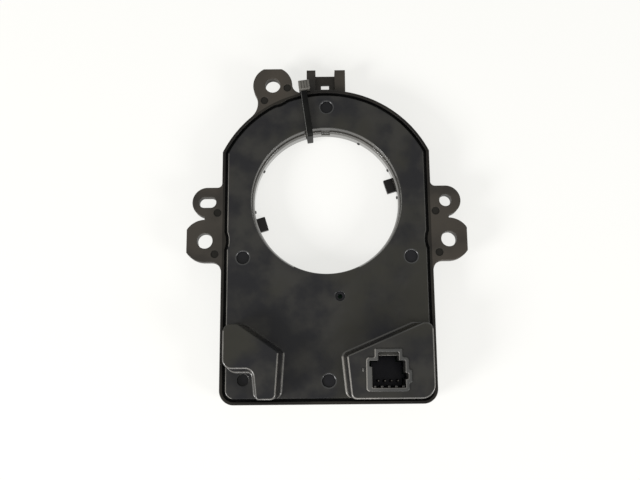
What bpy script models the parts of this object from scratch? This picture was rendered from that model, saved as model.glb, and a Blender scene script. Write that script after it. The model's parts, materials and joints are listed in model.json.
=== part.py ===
"""Steering angle sensor with a multi-turn magnetic gear train, in metres, +Z up.

The sensor lies on its rear face: X to the right, Y up the drawing, Z towards the viewer.
The steering shaft's axis (the bore axis) is parallel to Z. Every outline below is drawn
about the bore axis, and BORE_AXIS then places it so that the origin is under the middle
of the bounding box. Sizes grow outwards from the sleeve's bore and upwards from the rear
face: the case takes its width from the gears, and the pads and the board follow the case.
"""

import math

import bmesh
import bpy
from mathutils import Matrix, Vector

MM = 0.001

# Clearances
GAP = 0.3 * MM
SOLDER_GAP = 0.1 * MM

# Rotor: the sleeve on the steering shaft, with its drive lugs and its gear
SLEEVE_BORE = 26.05 * MM
SLEEVE_SKIRT = 1.05 * MM
SLEEVE_WALL = 1.85 * MM
SLEEVE_REAR = 2.6 * MM
SLEEVE_LEAD = (0.45 * MM, 0.9 * MM)
LUG_REAR = 0.3 * MM
LUG_REACH = 3.15 * MM
LUG_ROOT = 0.8 * MM
LUG_WIDTH = 5.2 * MM
LUG_THICK = 1.8 * MM
LUG_ANGLES = (16.75, 196.75)
INDEX_WIDTH = 3.2 * MM
INDEX_REACH = 0.8 * MM
INDEX_DEPTH = 2.4 * MM
NUB_ANGLES = (5.0, 29.0, 62.0, 151.0, 186.0)
NUB_SIZE = 1.0 * MM
NUB_REACH = 0.3 * MM

# Gear train
ROTOR_TEETH = 62
GEAR_TEETH = (24, 26)
GEAR_BEARINGS = (249.0, 291.0)
GEAR_THICK = 1.8 * MM
RING_BACKING = 1.9 * MM
ADDENDUM = 0.9 * MM
DEDENDUM = 1.2 * MM
BACKLASH = 0.1708 * MM
PRESSURE_ANGLE = math.radians(20)
COLLAR_TOP = 3.3 * MM
COLLAR_WALL = 1.8 * MM
STUB_RADIUS = 2.0 * MM
STUB_SEAT = 1.2 * MM
BOSS_WALL = 1.4 * MM
HUB_WALL = 1.45 * MM
HUB_RISE = 0.25 * MM
MAGNET_RADIUS = 3.0 * MM
MAGNET_THICK = 1.4 * MM
MAGNET_GAP = 0.15 * MM

# Rear case: a D-shaped tray, its straight sides meeting an arc about the bore
RING_CLEARANCE = 2.7 * MM
CASE_SHOULDER = 4.15 * MM
CASE_CORNER = 5.0 * MM
FLOOR = 1.6 * MM
LEDGE_WALL = 2.7 * MM
RIM_WALL = 1.1 * MM

# Front cover
BOARD_ROOM = 1.15 * MM
COVER_INSET = 2.0 * MM
COVER_SUNK = 0.3 * MM
COVER_THICK = 1.3 * MM
COVER_EDGE = 0.35 * MM
BORE_STEP = 0.8 * MM
COVER_RING_DEPTH = 1.7 * MM
SHELF_WIDTH = 0.25 * MM
SHELF_ANGLES = (244.0, 295.0)
RECESS_RADIUS = 2.3 * MM
RECESS_DEPTH = 0.7 * MM
RECESS_CHAMFER = 0.35 * MM
TOP_RECESS = (0.4 * MM, 8.05 * MM)
SIDE_RECESS = (7.6 * MM, 20.6 * MM)
FOOT_RECESS = (0.2 * MM, 7.9 * MM)
SIGHT_HOLE_PLACE = (4.4 * MM, 7.65 * MM)
SIGHT_RADIUS = 1.7 * MM
SIGHT_HOLE_RADIUS = 0.8 * MM
PEG_HOLE_PLACE = (8.1 * MM, 8.4 * MM)
PEG_HOLE_RADIUS = 2.0 * MM
PEG_HOLE_DEPTH = 1.0 * MM

# Pads, measured from the cover's sides and foot
BORE_LAND = 17.4 * MM
PAD_LENGTH = 27.05 * MM
PAD_HEIGHT = 8.2 * MM
PAD_WALL = 1.4 * MM
PAD_DRAFT = 1.1 * MM
PAD_EDGE = 0.4 * MM
PAD_OVERHANG = 0.05 * MM
PAD_SHORT_DRAFT = 0.88 * MM
LEFT_PAD_WIDTH = 18.7 * MM
LEFT_PAD_TOP = 4.9 * MM
LEFT_PAD_SLOPE = 9.65 * MM
NOTCH_WIDTH = 10.2 * MM
NOTCH_HEIGHT = 10.15 * MM
NOTCH_LEAN = 1.1 * MM
LEFT_PAD_LEAN = 1.05 * MM
RIGHT_PAD_WIDTH = 29.05 * MM
RIGHT_PAD_TOP = 3.2 * MM
RIGHT_PAD_SLOPE = 10.9 * MM
RIGHT_PAD_LEAN = 1.4 * MM

# Connector socket, drawn about the middle of its cavity
SOCKET_FROM_SIDE = 17.35 * MM
SOCKET_FROM_FOOT = 10.0 * MM
SOCKET_WIDTH = 11.0 * MM
SOCKET_HEIGHT = 8.8 * MM
SOCKET_LIP = 1.25 * MM
SOCKET_LIP_RAISED = 0.4 * MM
LATCH_WIDTH = 6.8 * MM
LATCH_HEIGHT = 2.8 * MM
LATCH_BAR = 1.1 * MM
LATCH_BAR_DEPTH = 1.6 * MM
KEY_DEPTH = 0.9 * MM
KEY_HEIGHT = 1.85 * MM
KEY_ABOVE = 0.3 * MM
GUIDE_COUNT = 5
GUIDE_PITCH = 2.35 * MM
GUIDE_SIZE = 0.7 * MM
PIN_COUNT = 4
PIN_PITCH = 2.2 * MM
PIN_SIDE = 0.64 * MM
PIN_DROP = 2.2 * MM
PIN_SHIFT = 0.2 * MM
PIN_HEIGHT = 3.2 * MM
PIN_TAIL = 0.8 * MM
PIN_TAPER = 0.7 * MM
HEADER_THICK = 1.4 * MM

# Ears, their holes for 5 mm fasteners and their locating holes
EAR_THICK = 3.5 * MM
SCREW_OUT = 5.9 * MM
SCREW_BELOW = 14.5 * MM
SCREW_HOLE_RADIUS = 2.75 * MM
SCREW_LOBE = 7.65 * MM
SCREW_LOBE_CUT = 1.2 * MM
SCREW_MARGIN = 0.85 * MM
LOCATOR_OUT = 5.15 * MM
LOCATOR_RADIUS = 2.15 * MM
LOCATOR_LOBE = 5.4 * MM
LOBE_NOTCH = 0.9 * MM
EAR_FILLETS = (1.6 * MM, 3.6 * MM)
SLOT_LENGTH = 6.2 * MM
SLOT_WIDTH = 3.9 * MM
TOP_HOLE_OUT = 6.093 * MM
TOP_HOLE_BEARING = math.radians(113.95)
TOP_LOBE = 7.2 * MM
TOP_LOBE_CUT = 0.8 * MM
TOP_FILLETS = (3.2 * MM, 7.0 * MM)
LOCATOR_DIMPLE = (3.65 * MM, 3.85 * MM)
SCREW_DIMPLE = (3.6 * MM, 4.8 * MM)
TOP_DIMPLES = ((-3.0 * MM, -5.85 * MM), (5.4 * MM, -1.05 * MM))
DIMPLE_RADIUS = 1.5 * MM
DIMPLE_DEPTH = 0.3 * MM

# Harness clip rail on the top wall
RAIL_INNER = 3.55 * MM
RAIL_POST = 3.3 * MM
RAIL_RIGHT_EXTRA = 0.65 * MM
RAIL_HEIGHT = 9.15 * MM
RAIL_REAR = 1.0 * MM
RAIL_FRONT = 7.3 * MM
RAIL_GROOVE = 1.0 * MM
RAIL_GROOVE_WIDTH = 1.5 * MM
RAIL_GROOVE_FOOT = 1.0 * MM
BRIDGE_BELOW = 1.1 * MM
BRIDGE_FRONT = 4.0 * MM
BRIDGE_REAR = 2.8 * MM
WINDOW_HALF = 1.5 * MM
WINDOW_BELOW = 3.45 * MM
WINDOW_HEIGHT = 1.8 * MM

# Circuit board, over the two measuring gears
BOARD_MARGIN = 0.7 * MM
BOARD_FOOT_MARGIN = 1.0 * MM
BOARD_TOP = 19.0 * MM
BOARD_CORNER = 2.0 * MM
BOARD_THICK = 1.0 * MM
BOARD_CLEARANCE = 1.0 * MM
SENSOR_CHIP = (5.0 * MM, 6.2 * MM, 0.7 * MM)
REST_INSET = 5.1 * MM
REST_BELOW = 24.0 * MM
REST_ABOVE_FOOT = 5.9 * MM
REST_SIDE = 4.0 * MM
RIB_SIZE = (2.0 * MM, 2.4 * MM)
RIB_INSET = 0.97 * MM
RIB_RISE = 0.6 * MM

# Parts on the board: from its middle, above the case's foot, then length, width and height
CHIPS = {
    "microcontroller": (0.0 * MM, 28.8 * MM, 7.0 * MM, 7.0 * MM, 0.8 * MM),
    "bus_transceiver": (9.6 * MM, 25.3 * MM, 4.9 * MM, 3.9 * MM, 0.8 * MM),
    "voltage_regulator": (-11.0 * MM, 21.3 * MM, 3.5 * MM, 6.5 * MM, 0.8 * MM),
    "timing_crystal": (0.0 * MM, 20.8 * MM, 5.0 * MM, 3.2 * MM, 0.7 * MM),
    "surge_diode": (4.5 * MM, 13.8 * MM, 4.3 * MM, 2.6 * MM, 0.8 * MM),
}
CHIP_BEVEL = 0.05 * MM
CHIP_DRAFT = 0.12

# Parts in the left pad's hollow, which take the room that its walls leave
SUPPLY_CAN_BESIDE = 1.5 * MM
SUPPLY_CAN_BELOW = 4.25 * MM
SUPPLY_CAN_ROOM = 5.9 * MM
SUPPLY_CAN_HEIGHT = 5.8 * MM
BACKUP_CAN_INSET = 2.0 * MM
BACKUP_CAN_ABOVE = 7.9 * MM
BACKUP_CAN_ROOM = 1.7 * MM
BACKUP_CAN_HEIGHT = 5.4 * MM
CHOKE_GAP = 2.3 * MM
CHOKE_MARGIN = 1.1 * MM
CHOKE_BELOW = 8.85 * MM
CHOKE_ABOVE_CAN = 3.5 * MM
CHOKE_HEIGHT = 3.8 * MM
CAN_EDGE = 0.3 * MM
CAN_WAIST = 0.9
CAN_WAIST_HEIGHTS = (0.7 * MM, 1.0 * MM, 1.3 * MM, 1.6 * MM)

# Shipping tie: a cable tie through the bore that holds the rotor still
TIE_LEAN = 1.1 * MM
TIE_STANDOFF = 0.69 * MM
TIE_TILT = math.radians(7.6)
TIE_WIDTH = 2.2 * MM
TIE_THICK = 1.1 * MM
TIE_REAR = 0.1 * MM
TIE_REST = 0.2 * MM
TIE_CLEARANCE = 0.46 * MM
TIE_BEND = 0.3 * MM
TIE_REAR_BEND = 1.9 * MM
TIE_HEAD_WIDTH = 4.0 * MM
TIE_HEAD_SHIFT = 0.45 * MM
TIE_HEAD_LENGTH = 3.7 * MM
TIE_HEAD_RISE = 1.6 * MM
TIE_HEAD_CORNER = 0.6 * MM
TIE_RIBS = 4
TIE_RIB_DEPTH = 0.3 * MM
TIE_RIB_MARGIN = 0.4 * MM
TIE_HEAD_PROUD = 0.05 * MM
GROOVE_START = 3.0 * MM
GROOVE_WALL = 1.5 * MM

# Fineness of curved outlines
ARC_STEP = 7.5
CORNER_STEPS = 4
SMALLEST_FILLET = 0.2 * MM
SAME_POINT = 0.001 * MM
BORE_SIDES = 96
HOLE_SIDES = 24
SMALL_HOLE_SIDES = 16
OVERLAP = 0.5 * MM
HALF_TURN = 180

# Worked out across the drawing, from the bore outwards
COVER_BORE = SLEEVE_BORE + BORE_STEP
CASE_BORE = SLEEVE_BORE + SLEEVE_SKIRT + GAP
SLEEVE_OUTER = SLEEVE_BORE + SLEEVE_WALL
PITCH_RADIUS = SLEEVE_OUTER + RING_BACKING + DEDENDUM
MODULE = 2 * PITCH_RADIUS / ROTOR_TEETH
TOOTH_THICK = MODULE * math.pi / 2 - BACKLASH
CASE_HALF_WIDTH = PITCH_RADIUS + ADDENDUM + RING_CLEARANCE + LEDGE_WALL
CASE_ARC_RADIUS = CASE_HALF_WIDTH + CASE_SHOULDER
PAD_START = COVER_BORE + BORE_LAND
CASE_FOOT = PAD_START + PAD_LENGTH
COVER_SIDE = CASE_HALF_WIDTH - COVER_INSET
COVER_FOOT = CASE_FOOT - COVER_INSET
SCREW_HOLE = (CASE_HALF_WIDTH + SCREW_OUT, -SCREW_BELOW)
SCREW_CLEARANCE = SCREW_LOBE + SCREW_MARGIN
LOCATOR = (CASE_HALF_WIDTH + LOCATOR_OUT, SCREW_LOBE + LOBE_NOTCH + LOCATOR_LOBE - SCREW_BELOW)
TOP_HOLE_REACH = CASE_ARC_RADIUS + TOP_HOLE_OUT
TOP_HOLE = (
    TOP_HOLE_REACH * math.cos(TOP_HOLE_BEARING),
    TOP_HOLE_REACH * math.sin(TOP_HOLE_BEARING),
)
TOP_LOBE_FLAT = TOP_HOLE[1] + TOP_LOBE - TOP_LOBE_CUT
RAIL_OUTER = RAIL_INNER + RAIL_POST
RAIL_TOP = CASE_ARC_RADIUS + RAIL_HEIGHT
BRIDGE_TOP = RAIL_TOP - BRIDGE_BELOW
RECESSES = (
    (TOP_RECESS[0], COVER_BORE + TOP_RECESS[1]),
    (SIDE_RECESS[0] - CASE_HALF_WIDTH, -SIDE_RECESS[1]),
    (CASE_HALF_WIDTH - SIDE_RECESS[0], -SIDE_RECESS[1]),
    (FOOT_RECESS[0], FOOT_RECESS[1] - CASE_FOOT),
)
SIGHT_HOLE = (SIGHT_HOLE_PLACE[0], -COVER_BORE - SIGHT_HOLE_PLACE[1])
PEG_HOLE = (PEG_HOLE_PLACE[0] - CASE_HALF_WIDTH, PEG_HOLE_PLACE[1] - CASE_FOOT)
SOCKET = (CASE_HALF_WIDTH - SOCKET_FROM_SIDE, SOCKET_FROM_FOOT - CASE_FOOT)
REST_SIDE_X = CASE_HALF_WIDTH - REST_INSET
REST_FOOT_Y = REST_ABOVE_FOOT - CASE_FOOT
CORNER_RESTS = [(side * REST_SIDE_X, y) for y in (-REST_BELOW, REST_FOOT_Y) for side in (-1, 1)]
RIB_RESTS = [*CORNER_RESTS[:3], (0.0, REST_FOOT_Y)]
BOARD_HALF_WIDTH = CASE_HALF_WIDTH - LEDGE_WALL - BOARD_MARGIN
BOARD_FOOT = CASE_FOOT - LEDGE_WALL - BOARD_FOOT_MARGIN
BOARD_ARC = SLEEVE_OUTER + BOARD_CLEARANCE
LEFT_PAD_RIGHT = LEFT_PAD_WIDTH - COVER_SIDE
SUPPLY_CAN_RADIUS = (PAD_LENGTH - COVER_INSET - NOTCH_HEIGHT - SUPPLY_CAN_ROOM) / 2 - PAD_WALL
SUPPLY_CAN = (
    PAD_WALL + SUPPLY_CAN_BESIDE + SUPPLY_CAN_RADIUS - COVER_SIDE,
    -PAD_START - PAD_WALL - SUPPLY_CAN_BELOW - SUPPLY_CAN_RADIUS,
)
BACKUP_CAN_RADIUS = (LEFT_PAD_WIDTH - NOTCH_WIDTH - BACKUP_CAN_ROOM) / 2 - PAD_WALL
BACKUP_CAN = (LEFT_PAD_RIGHT - BACKUP_CAN_INSET - BACKUP_CAN_RADIUS, BACKUP_CAN_ABOVE - CASE_FOOT)
CHOKE_RIGHT = LEFT_PAD_RIGHT - PAD_WALL - CHOKE_MARGIN
CHOKE_WIDTH = CHOKE_RIGHT - SUPPLY_CAN[0] - SUPPLY_CAN_RADIUS - CHOKE_GAP
CHOKE_TOP = -PAD_START - CHOKE_BELOW
CHOKE_LENGTH = CHOKE_TOP - BACKUP_CAN[1] - BACKUP_CAN_RADIUS - CHOKE_ABOVE_CAN
CHOKE = (CHOKE_RIGHT - CHOKE_WIDTH / 2, CHOKE_TOP - CHOKE_LENGTH / 2)
TIE_X = TIE_LEAN - RAIL_OUTER
TIE_PLACE = Vector((TIE_X, math.sqrt((SLEEVE_BORE - TIE_STANDOFF) ** 2 - TIE_X**2)))
TIE_ALONG = Vector((-math.sin(TIE_TILT), math.cos(TIE_TILT)))
TIE_ADVANCE = TIE_PLACE.dot(TIE_ALONG)
TIE_OUTSIDE = CASE_ARC_RADIUS + TIE_CLEARANCE
TIE_REACH = math.sqrt(TIE_ADVANCE**2 - TIE_PLACE.length_squared + TIE_OUTSIDE**2) - TIE_ADVANCE
FACE_TOP = max(RAIL_TOP, TOP_LOBE_FLAT)
BORE_AXIS = Vector((0.0, (CASE_FOOT - FACE_TOP) / 2, 0.0))

# Worked out upwards from the rear face
ROTOR_SEAT = COLLAR_TOP + GAP
GEAR_TOP = ROTOR_SEAT + GEAR_THICK
HUB_TOP = GEAR_TOP + HUB_RISE
CHIP_REAR = HUB_TOP + GAP
BOARD_REAR = CHIP_REAR + SENSOR_CHIP[2] + SOLDER_GAP
BOARD_FRONT = BOARD_REAR + BOARD_THICK
COVER_UNDER = BOARD_FRONT + BOARD_ROOM
COVER_FACE = COVER_UNDER + COVER_THICK
RIM_TOP = COVER_FACE + COVER_SUNK
LEDGE_TOP = COVER_UNDER - GAP
EAR_REAR = RIM_TOP - EAR_THICK
PAD_FACE = COVER_FACE + PAD_HEIGHT
COVER_RING_REAR = COVER_UNDER - COVER_RING_DEPTH
SLEEVE_FRONT = COVER_RING_REAR - GAP
PIN_TIP = COVER_FACE + PIN_HEIGHT
TIE_HEAD_REAR = RAIL_FRONT + GAP
TIE_HEAD_FRONT = RIM_TOP + TIE_HEAD_RISE


def mirrored(outline):
    """An outline turned over about the Y axis, still anticlockwise."""
    return [(-x, y) for x, y in reversed(outline)]


def arc(centre, radius, start, end, step=ARC_STEP):
    """Points along a circular arc, its angles in degrees."""
    count = max(2, math.ceil(abs(end - start) / step))
    angles = [math.radians(start + (end - start) * i / count) for i in range(count + 1)]
    return [(centre[0] + radius * math.cos(a), centre[1] + radius * math.sin(a)) for a in angles]


def circle(centre, radius, sides=HOLE_SIDES):
    return arc(centre, radius, 0, 360, 360 / sides)[:-1]


def rectangle(left, right, foot, top):
    return [(left, foot), (right, foot), (right, top), (left, top)]


def distinct(outline):
    """An outline without the points that repeat the one before."""
    kept = [p for i, p in enumerate(outline) if math.dist(p, outline[i - 1]) > SAME_POINT]
    return kept


def shrunk(outline, inset):
    """An outline moved in by the same distance all round, with as many points."""
    moved = []
    for i, point in enumerate(outline):
        here = Vector(point)
        back = (here - Vector(outline[i - 1])).normalized()
        ahead = (Vector(outline[(i + 1) % len(outline)]) - here).normalized()
        normal = Vector((-ahead.y, ahead.x))
        middle = (normal + Vector((-back.y, back.x))).normalized()
        moved.append(tuple(here + middle * inset / middle.dot(normal)))
    return moved


def rounded(corners, steps=CORNER_STEPS):
    """A closed outline from corners (x, y, radius), each rounded by its radius."""
    points = []
    for i, (x, y, radius) in enumerate(corners):
        here = Vector((x, y))
        back = (Vector(corners[i - 1][:2]) - here).normalized()
        ahead = (Vector(corners[(i + 1) % len(corners)][:2]) - here).normalized()
        if radius == 0:
            points.append((x, y))
            continue
        half = back.angle(ahead) / 2
        middle = here + (back + ahead).normalized() * radius / math.sin(half)
        first = here + back * radius / math.tan(half) - middle
        last = here + ahead * radius / math.tan(half) - middle
        turn = first.angle_signed(last)
        for k in range(steps + 1):
            spoke = first.copy()
            spoke.rotate(Matrix.Rotation(-turn * k / steps, 2))
            points.append(tuple(middle + spoke))
    return points


def drafted(corners, shifts):
    """Corners (x, y, radius) with side i, from corner i to the next, moved out by shifts[i]."""
    sides = []
    for i, (x, y, _) in enumerate(corners):
        here = Vector((x, y))
        along = (Vector(corners[(i + 1) % len(corners)][:2]) - here).normalized()
        sides.append((here + Vector((along.y, -along.x)) * shifts[i], along))
    moved = []
    for i, (_, _, radius) in enumerate(corners):
        (start, along), (before, before_along) = sides[i], sides[i - 1]
        reach = (before - start).cross(before_along) / along.cross(before_along)
        point = start + along * reach
        bulge = math.copysign(1, before_along.cross(along))
        grown = radius + bulge * (shifts[i] + shifts[i - 1]) / 2
        moved.append((point.x, point.y, max(grown, SMALLEST_FILLET)))
    return moved


def meeting_angle(radius, distance, other):
    """The angle at one circle's centre between a second centre and a point where they cross."""
    cosine = (radius**2 + distance**2 - other**2) / (2 * radius * distance)
    return math.degrees(math.acos(max(-1.0, min(1.0, cosine))))


def case_outline(inset, clearance=0.0):
    """The case's D outline moved in, with a concave relief round each screw hole."""
    half, radius = CASE_HALF_WIDTH - inset, CASE_ARC_RADIUS - inset
    foot, corner = CASE_FOOT - inset, max(CASE_CORNER - inset, SMALLEST_FILLET)
    start = math.degrees(math.acos(half / radius))
    points = arc((half - corner, corner - foot), corner, -90, 0)
    points += side_relief(half, clearance)
    distance, bearing = TOP_HOLE_REACH, math.degrees(TOP_HOLE_BEARING)
    if clearance and distance - clearance < radius:
        half_angle = meeting_angle(radius, distance, clearance)
        swing, behind = meeting_angle(clearance, distance, radius), bearing + HALF_TURN
        points += arc((0, 0), radius, start, bearing - half_angle)
        points += arc(TOP_HOLE, clearance, behind + swing, behind - swing)
        points += arc((0, 0), radius, bearing + half_angle, HALF_TURN - start)
    else:
        points += arc((0, 0), radius, start, HALF_TURN - start)
    points += mirrored(side_relief(half, clearance))
    return distinct(points + arc((corner - half, corner - foot), corner, HALF_TURN, 270))


def side_relief(half, clearance):
    """The concave relief in the right side, from the foot up, or nothing where it stays clear."""
    reach = SCREW_HOLE[0] - half
    if clearance <= reach:
        return []
    swing = math.degrees(math.acos(reach / clearance))
    return arc(SCREW_HOLE, clearance, HALF_TURN + swing, HALF_TURN - swing)


def side_ear():
    """The right pair of lobes: a locating lobe above a screw lobe, with a notch between them."""
    side, inner = CASE_HALF_WIDTH, CASE_HALF_WIDTH - RIM_WALL / 2
    top, foot = LOCATOR[1] + LOCATOR_LOBE, SCREW_HOLE[1] - SCREW_LOBE
    upper, lower = EAR_FILLETS
    flat = math.degrees(math.acos(1 - SCREW_LOBE_CUT / SCREW_LOBE))
    points = [(inner, foot - lower)]
    points += arc((side + lower, foot - lower), lower, 180, 90)
    points += arc(SCREW_HOLE, SCREW_LOBE, -90, -flat)
    points += arc(SCREW_HOLE, SCREW_LOBE, flat, 88)
    points += arc(LOCATOR, LOCATOR_LOBE, -80, 90)
    points += arc((side + upper, top + upper), upper, 270, 180)
    return points + [(inner, top + upper)]


def neck(fillet, side):
    """The centre of a fillet between the top ear's lobe and the case's arc."""
    reach = CASE_ARC_RADIUS + fillet
    swing = math.radians(meeting_angle(reach, TOP_HOLE_REACH, TOP_LOBE + fillet))
    bearing = TOP_HOLE_BEARING + side * swing
    return (reach * math.cos(bearing), reach * math.sin(bearing))


def top_ear():
    """The upper left lobe, with a flat top, blended into the case's arc on both sides."""
    flat = math.degrees(math.asin(1 - TOP_LOBE_CUT / TOP_LOBE))
    right, left = TOP_FILLETS
    right_centre, left_centre = neck(right, -1), neck(left, 1)
    inner = CASE_ARC_RADIUS - RIM_WALL / 2

    def bearing(centre, target):
        return math.degrees(math.atan2(target[1] - centre[1], target[0] - centre[0]))

    right_case = bearing(right_centre, (0, 0)) % 360
    right_lobe = bearing(right_centre, TOP_HOLE) % 360
    left_case = bearing(left_centre, (0, 0)) % 360
    left_lobe = bearing(left_centre, TOP_HOLE) % 360
    lobe_side = left_lobe if left_lobe > HALF_TURN else left_lobe + 360
    points = arc((0, 0), inner, left_case - HALF_TURN, right_case - HALF_TURN)
    points += arc(right_centre, right, right_case, right_lobe)
    points += arc(TOP_HOLE, TOP_LOBE, right_lobe - HALF_TURN, flat)
    points += arc(TOP_HOLE, TOP_LOBE, HALF_TURN - flat, (left_lobe + HALF_TURN) % 360)
    return points + arc(left_centre, left, lobe_side, left_case)


def tooth_half_angle(teeth, radius):
    """Half a tooth's angle at a radius, along its involute flank."""
    pitch_radius = MODULE * teeth / 2
    base = pitch_radius * math.cos(PRESSURE_ANGLE)
    angle = math.acos(min(1.0, base / radius))
    at_pitch = TOOTH_THICK / 2 / pitch_radius
    flank = math.tan(PRESSURE_ANGLE) - PRESSURE_ANGLE
    return at_pitch + flank - (math.tan(angle) - angle)


def gear_outline(teeth, first_tooth):
    """A spur gear's outline with involute flanks, one tooth centred on first_tooth (radians)."""
    pitch_radius = MODULE * teeth / 2
    root, tip = pitch_radius - DEDENDUM, pitch_radius + ADDENDUM
    base = max(root, pitch_radius * math.cos(PRESSURE_ANGLE))
    radii = [root, pitch_radius, tip] if base == root else [root, base, pitch_radius, tip]
    points = []
    for i in range(teeth):
        middle = first_tooth + 2 * math.pi * i / teeth
        flank = [(r, tooth_half_angle(teeth, max(r, base))) for r in radii]
        for radius, half in flank:
            points.append((radius * math.cos(middle - half), radius * math.sin(middle - half)))
        for radius, half in reversed(flank):
            points.append((radius * math.cos(middle + half), radius * math.sin(middle + half)))
    return points


def gear_place(index):
    """A measuring gear's axis, from its bearing about the bore and the teeth it meshes with."""
    distance = MODULE * (ROTOR_TEETH + GEAR_TEETH[index]) / 2
    bearing = math.radians(GEAR_BEARINGS[index])
    return (distance * math.cos(bearing), distance * math.sin(bearing))


def meshed_tooth(index):
    """The angle of a tooth on a measuring gear, so that its gap takes a tooth of the rotor."""
    teeth = GEAR_TEETH[index]
    bearing = math.radians(GEAR_BEARINGS[index])
    pitch = 2 * math.pi / ROTOR_TEETH
    offset = round(bearing / pitch) * pitch - bearing
    return bearing + math.pi - offset * ROTOR_TEETH / teeth + math.pi / teeth


def clear_scene():
    for old in list(bpy.data.objects):
        bpy.data.objects.remove(old)
    for old in list(bpy.data.collections):
        bpy.data.collections.remove(old)


def collection(name):
    made = bpy.data.collections.new(name)
    bpy.context.scene.collection.children.link(made)
    return made


def material(name, colour, roughness, metallic=0.0):
    made = bpy.data.materials.new(name)
    made.use_nodes = True
    shader = made.node_tree.nodes["Principled BSDF"]
    shader.inputs["Base Color"].default_value = (*colour, 1.0)
    shader.inputs["Roughness"].default_value = roughness
    shader.inputs["Metallic"].default_value = metallic
    made.diffuse_color = (*colour, 1.0)
    return made


def placed(name, mesh, place=BORE_AXIS):
    """An object in the helpers' collection, at the bore axis unless a place is given."""
    made = bpy.data.objects.new(name, mesh)
    made.location = place
    helpers.objects.link(made)
    return made


def welded(mesh):
    work = bmesh.new()
    work.from_mesh(mesh)
    bmesh.ops.remove_doubles(work, verts=work.verts, dist=SAME_POINT)
    bmesh.ops.recalc_face_normals(work, faces=work.faces)
    work.to_mesh(mesh)
    work.free()


def plate(name, outlines, rear, front, place=BORE_AXIS):
    """A flat outline, with any holes as further outlines, from rear to front along Z."""
    curve = bpy.data.curves.new(name + "_curve", "CURVE")
    curve.dimensions = "2D"
    curve.fill_mode = "BOTH"
    curve.extrude = (front - rear) / 2
    for outline in outlines:
        spline = curve.splines.new("POLY")
        spline.points.add(len(outline) - 1)
        for point, (x, y) in zip(spline.points, outline):
            point.co = (x, y, 0, 1)
        spline.use_cyclic_u = True
    guide = placed(name + "_guide", curve, (0, 0, 0))
    bpy.context.view_layer.update()
    seen = guide.evaluated_get(bpy.context.evaluated_depsgraph_get())
    mesh = bpy.data.meshes.new_from_object(seen)
    mesh.transform(Matrix.Translation((0, 0, (rear + front) / 2)))
    bpy.data.objects.remove(guide)
    bpy.data.curves.remove(curve)
    welded(mesh)
    return placed(name, mesh, place)


def loft(name, sections, place=BORE_AXIS):
    """A solid through sections (outline, height), each with as many points as the first."""
    work = bmesh.new()
    rings = []
    for outline, height in sections:
        rings.append([work.verts.new((x, y, height)) for x, y in outline])
    for lower, upper in zip(rings, rings[1:]):
        for i, corner in enumerate(lower):
            following = (i + 1) % len(lower)
            work.faces.new((corner, lower[following], upper[following], upper[i]))
    work.faces.new(reversed(rings[0]))
    work.faces.new(rings[-1])
    mesh = bpy.data.meshes.new(name)
    work.to_mesh(mesh)
    work.free()
    welded(mesh)
    return placed(name, mesh, place)


def turned(name, profile, steps, place=BORE_AXIS):
    """A solid turned about Z from a closed profile (radius, height), outer side top to bottom."""
    mesh = bpy.data.meshes.new(name)
    count = len(profile)
    edges = [(i, (i + 1) % count) for i in range(count)]
    mesh.from_pydata([(radius, 0, height) for radius, height in profile], edges, [])
    made = placed(name, mesh, place)
    screw = made.modifiers.new("turn", "SCREW")
    screw.steps = screw.render_steps = steps
    screw.use_merge_vertices = True
    screw.merge_threshold = 0.01 * MM
    return made


def block(name, centre, size, turn=0.0, place=BORE_AXIS):
    """A box about centre, turned about Z through the bore axis."""
    work = bmesh.new()
    bmesh.ops.create_cube(work, size=1)
    bmesh.ops.scale(work, vec=size, verts=work.verts)
    bmesh.ops.translate(work, vec=centre, verts=work.verts)
    bmesh.ops.rotate(work, matrix=Matrix.Rotation(turn, 3, "Z"), verts=work.verts)
    mesh = bpy.data.meshes.new(name)
    work.to_mesh(mesh)
    work.free()
    return placed(name, mesh, place)


def cylinder(name, centre, radius, rear, front, sides=HOLE_SIDES, flare=0.0, place=BORE_AXIS):
    """A cylinder along Z, or a cone whose front is wider by flare."""
    foot, top = circle(centre, radius, sides), circle(centre, radius + flare, sides)
    return loft(name, [(foot, rear), (top, front)], place)


def combine(target, operation, tools):
    """A Boolean for each tool, which stays as a hidden helper."""
    for tool in tools:
        tool.hide_render = True
        tool.display_type = "WIRE"
        step = target.modifiers.new(tool.name, "BOOLEAN")
        step.operation = operation
        step.solver = "EXACT"
        step.object = tool
    return target


def join(target, *tools):
    return combine(target, "UNION", tools)


def cut(target, *tools):
    return combine(target, "DIFFERENCE", tools)


def finish(made, name, look, smooth=35):
    """Names a piece, gives it its material and moves it to the sensor's collection."""
    made.name = name
    made.data.materials.clear()
    made.data.materials.append(look)
    helpers.objects.unlink(made)
    sensor.objects.link(made)
    if not made.modifiers:
        made.data.shade_smooth()
        made.data.set_sharp_from_angle(angle=math.radians(smooth))
    return made


def upright(made, turn, origin=(0, 0)):
    """Stands a shape drawn along +Y and up Z, and turns it about Z at its origin."""
    standing = Matrix(((0, 0, 1, 0), (1, 0, 0, 0), (0, 1, 0, 0), (0, 0, 0, 1)))
    where = Matrix.Translation((*origin, 0))
    made.data.transform(where @ Matrix.Rotation(turn, 4, "Z") @ standing)
    return made


def in_tie_frame(made):
    """Stands a shape drawn along the strap where the tie crosses the bore's edge."""
    return upright(made, TIE_TILT, TIE_PLACE)


def tie_groove():
    """The channel in the rear face that the tie lies in."""
    half = TIE_WIDTH / 2 + GAP
    end, depth = TIE_REACH + TIE_THICK + GAP, TIE_REAR + TIE_THICK + GAP
    channel = rectangle(-GROOVE_START, end, -OVERLAP, depth)
    return in_tie_frame(plate("tie_groove", [channel], -half, half))


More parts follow.
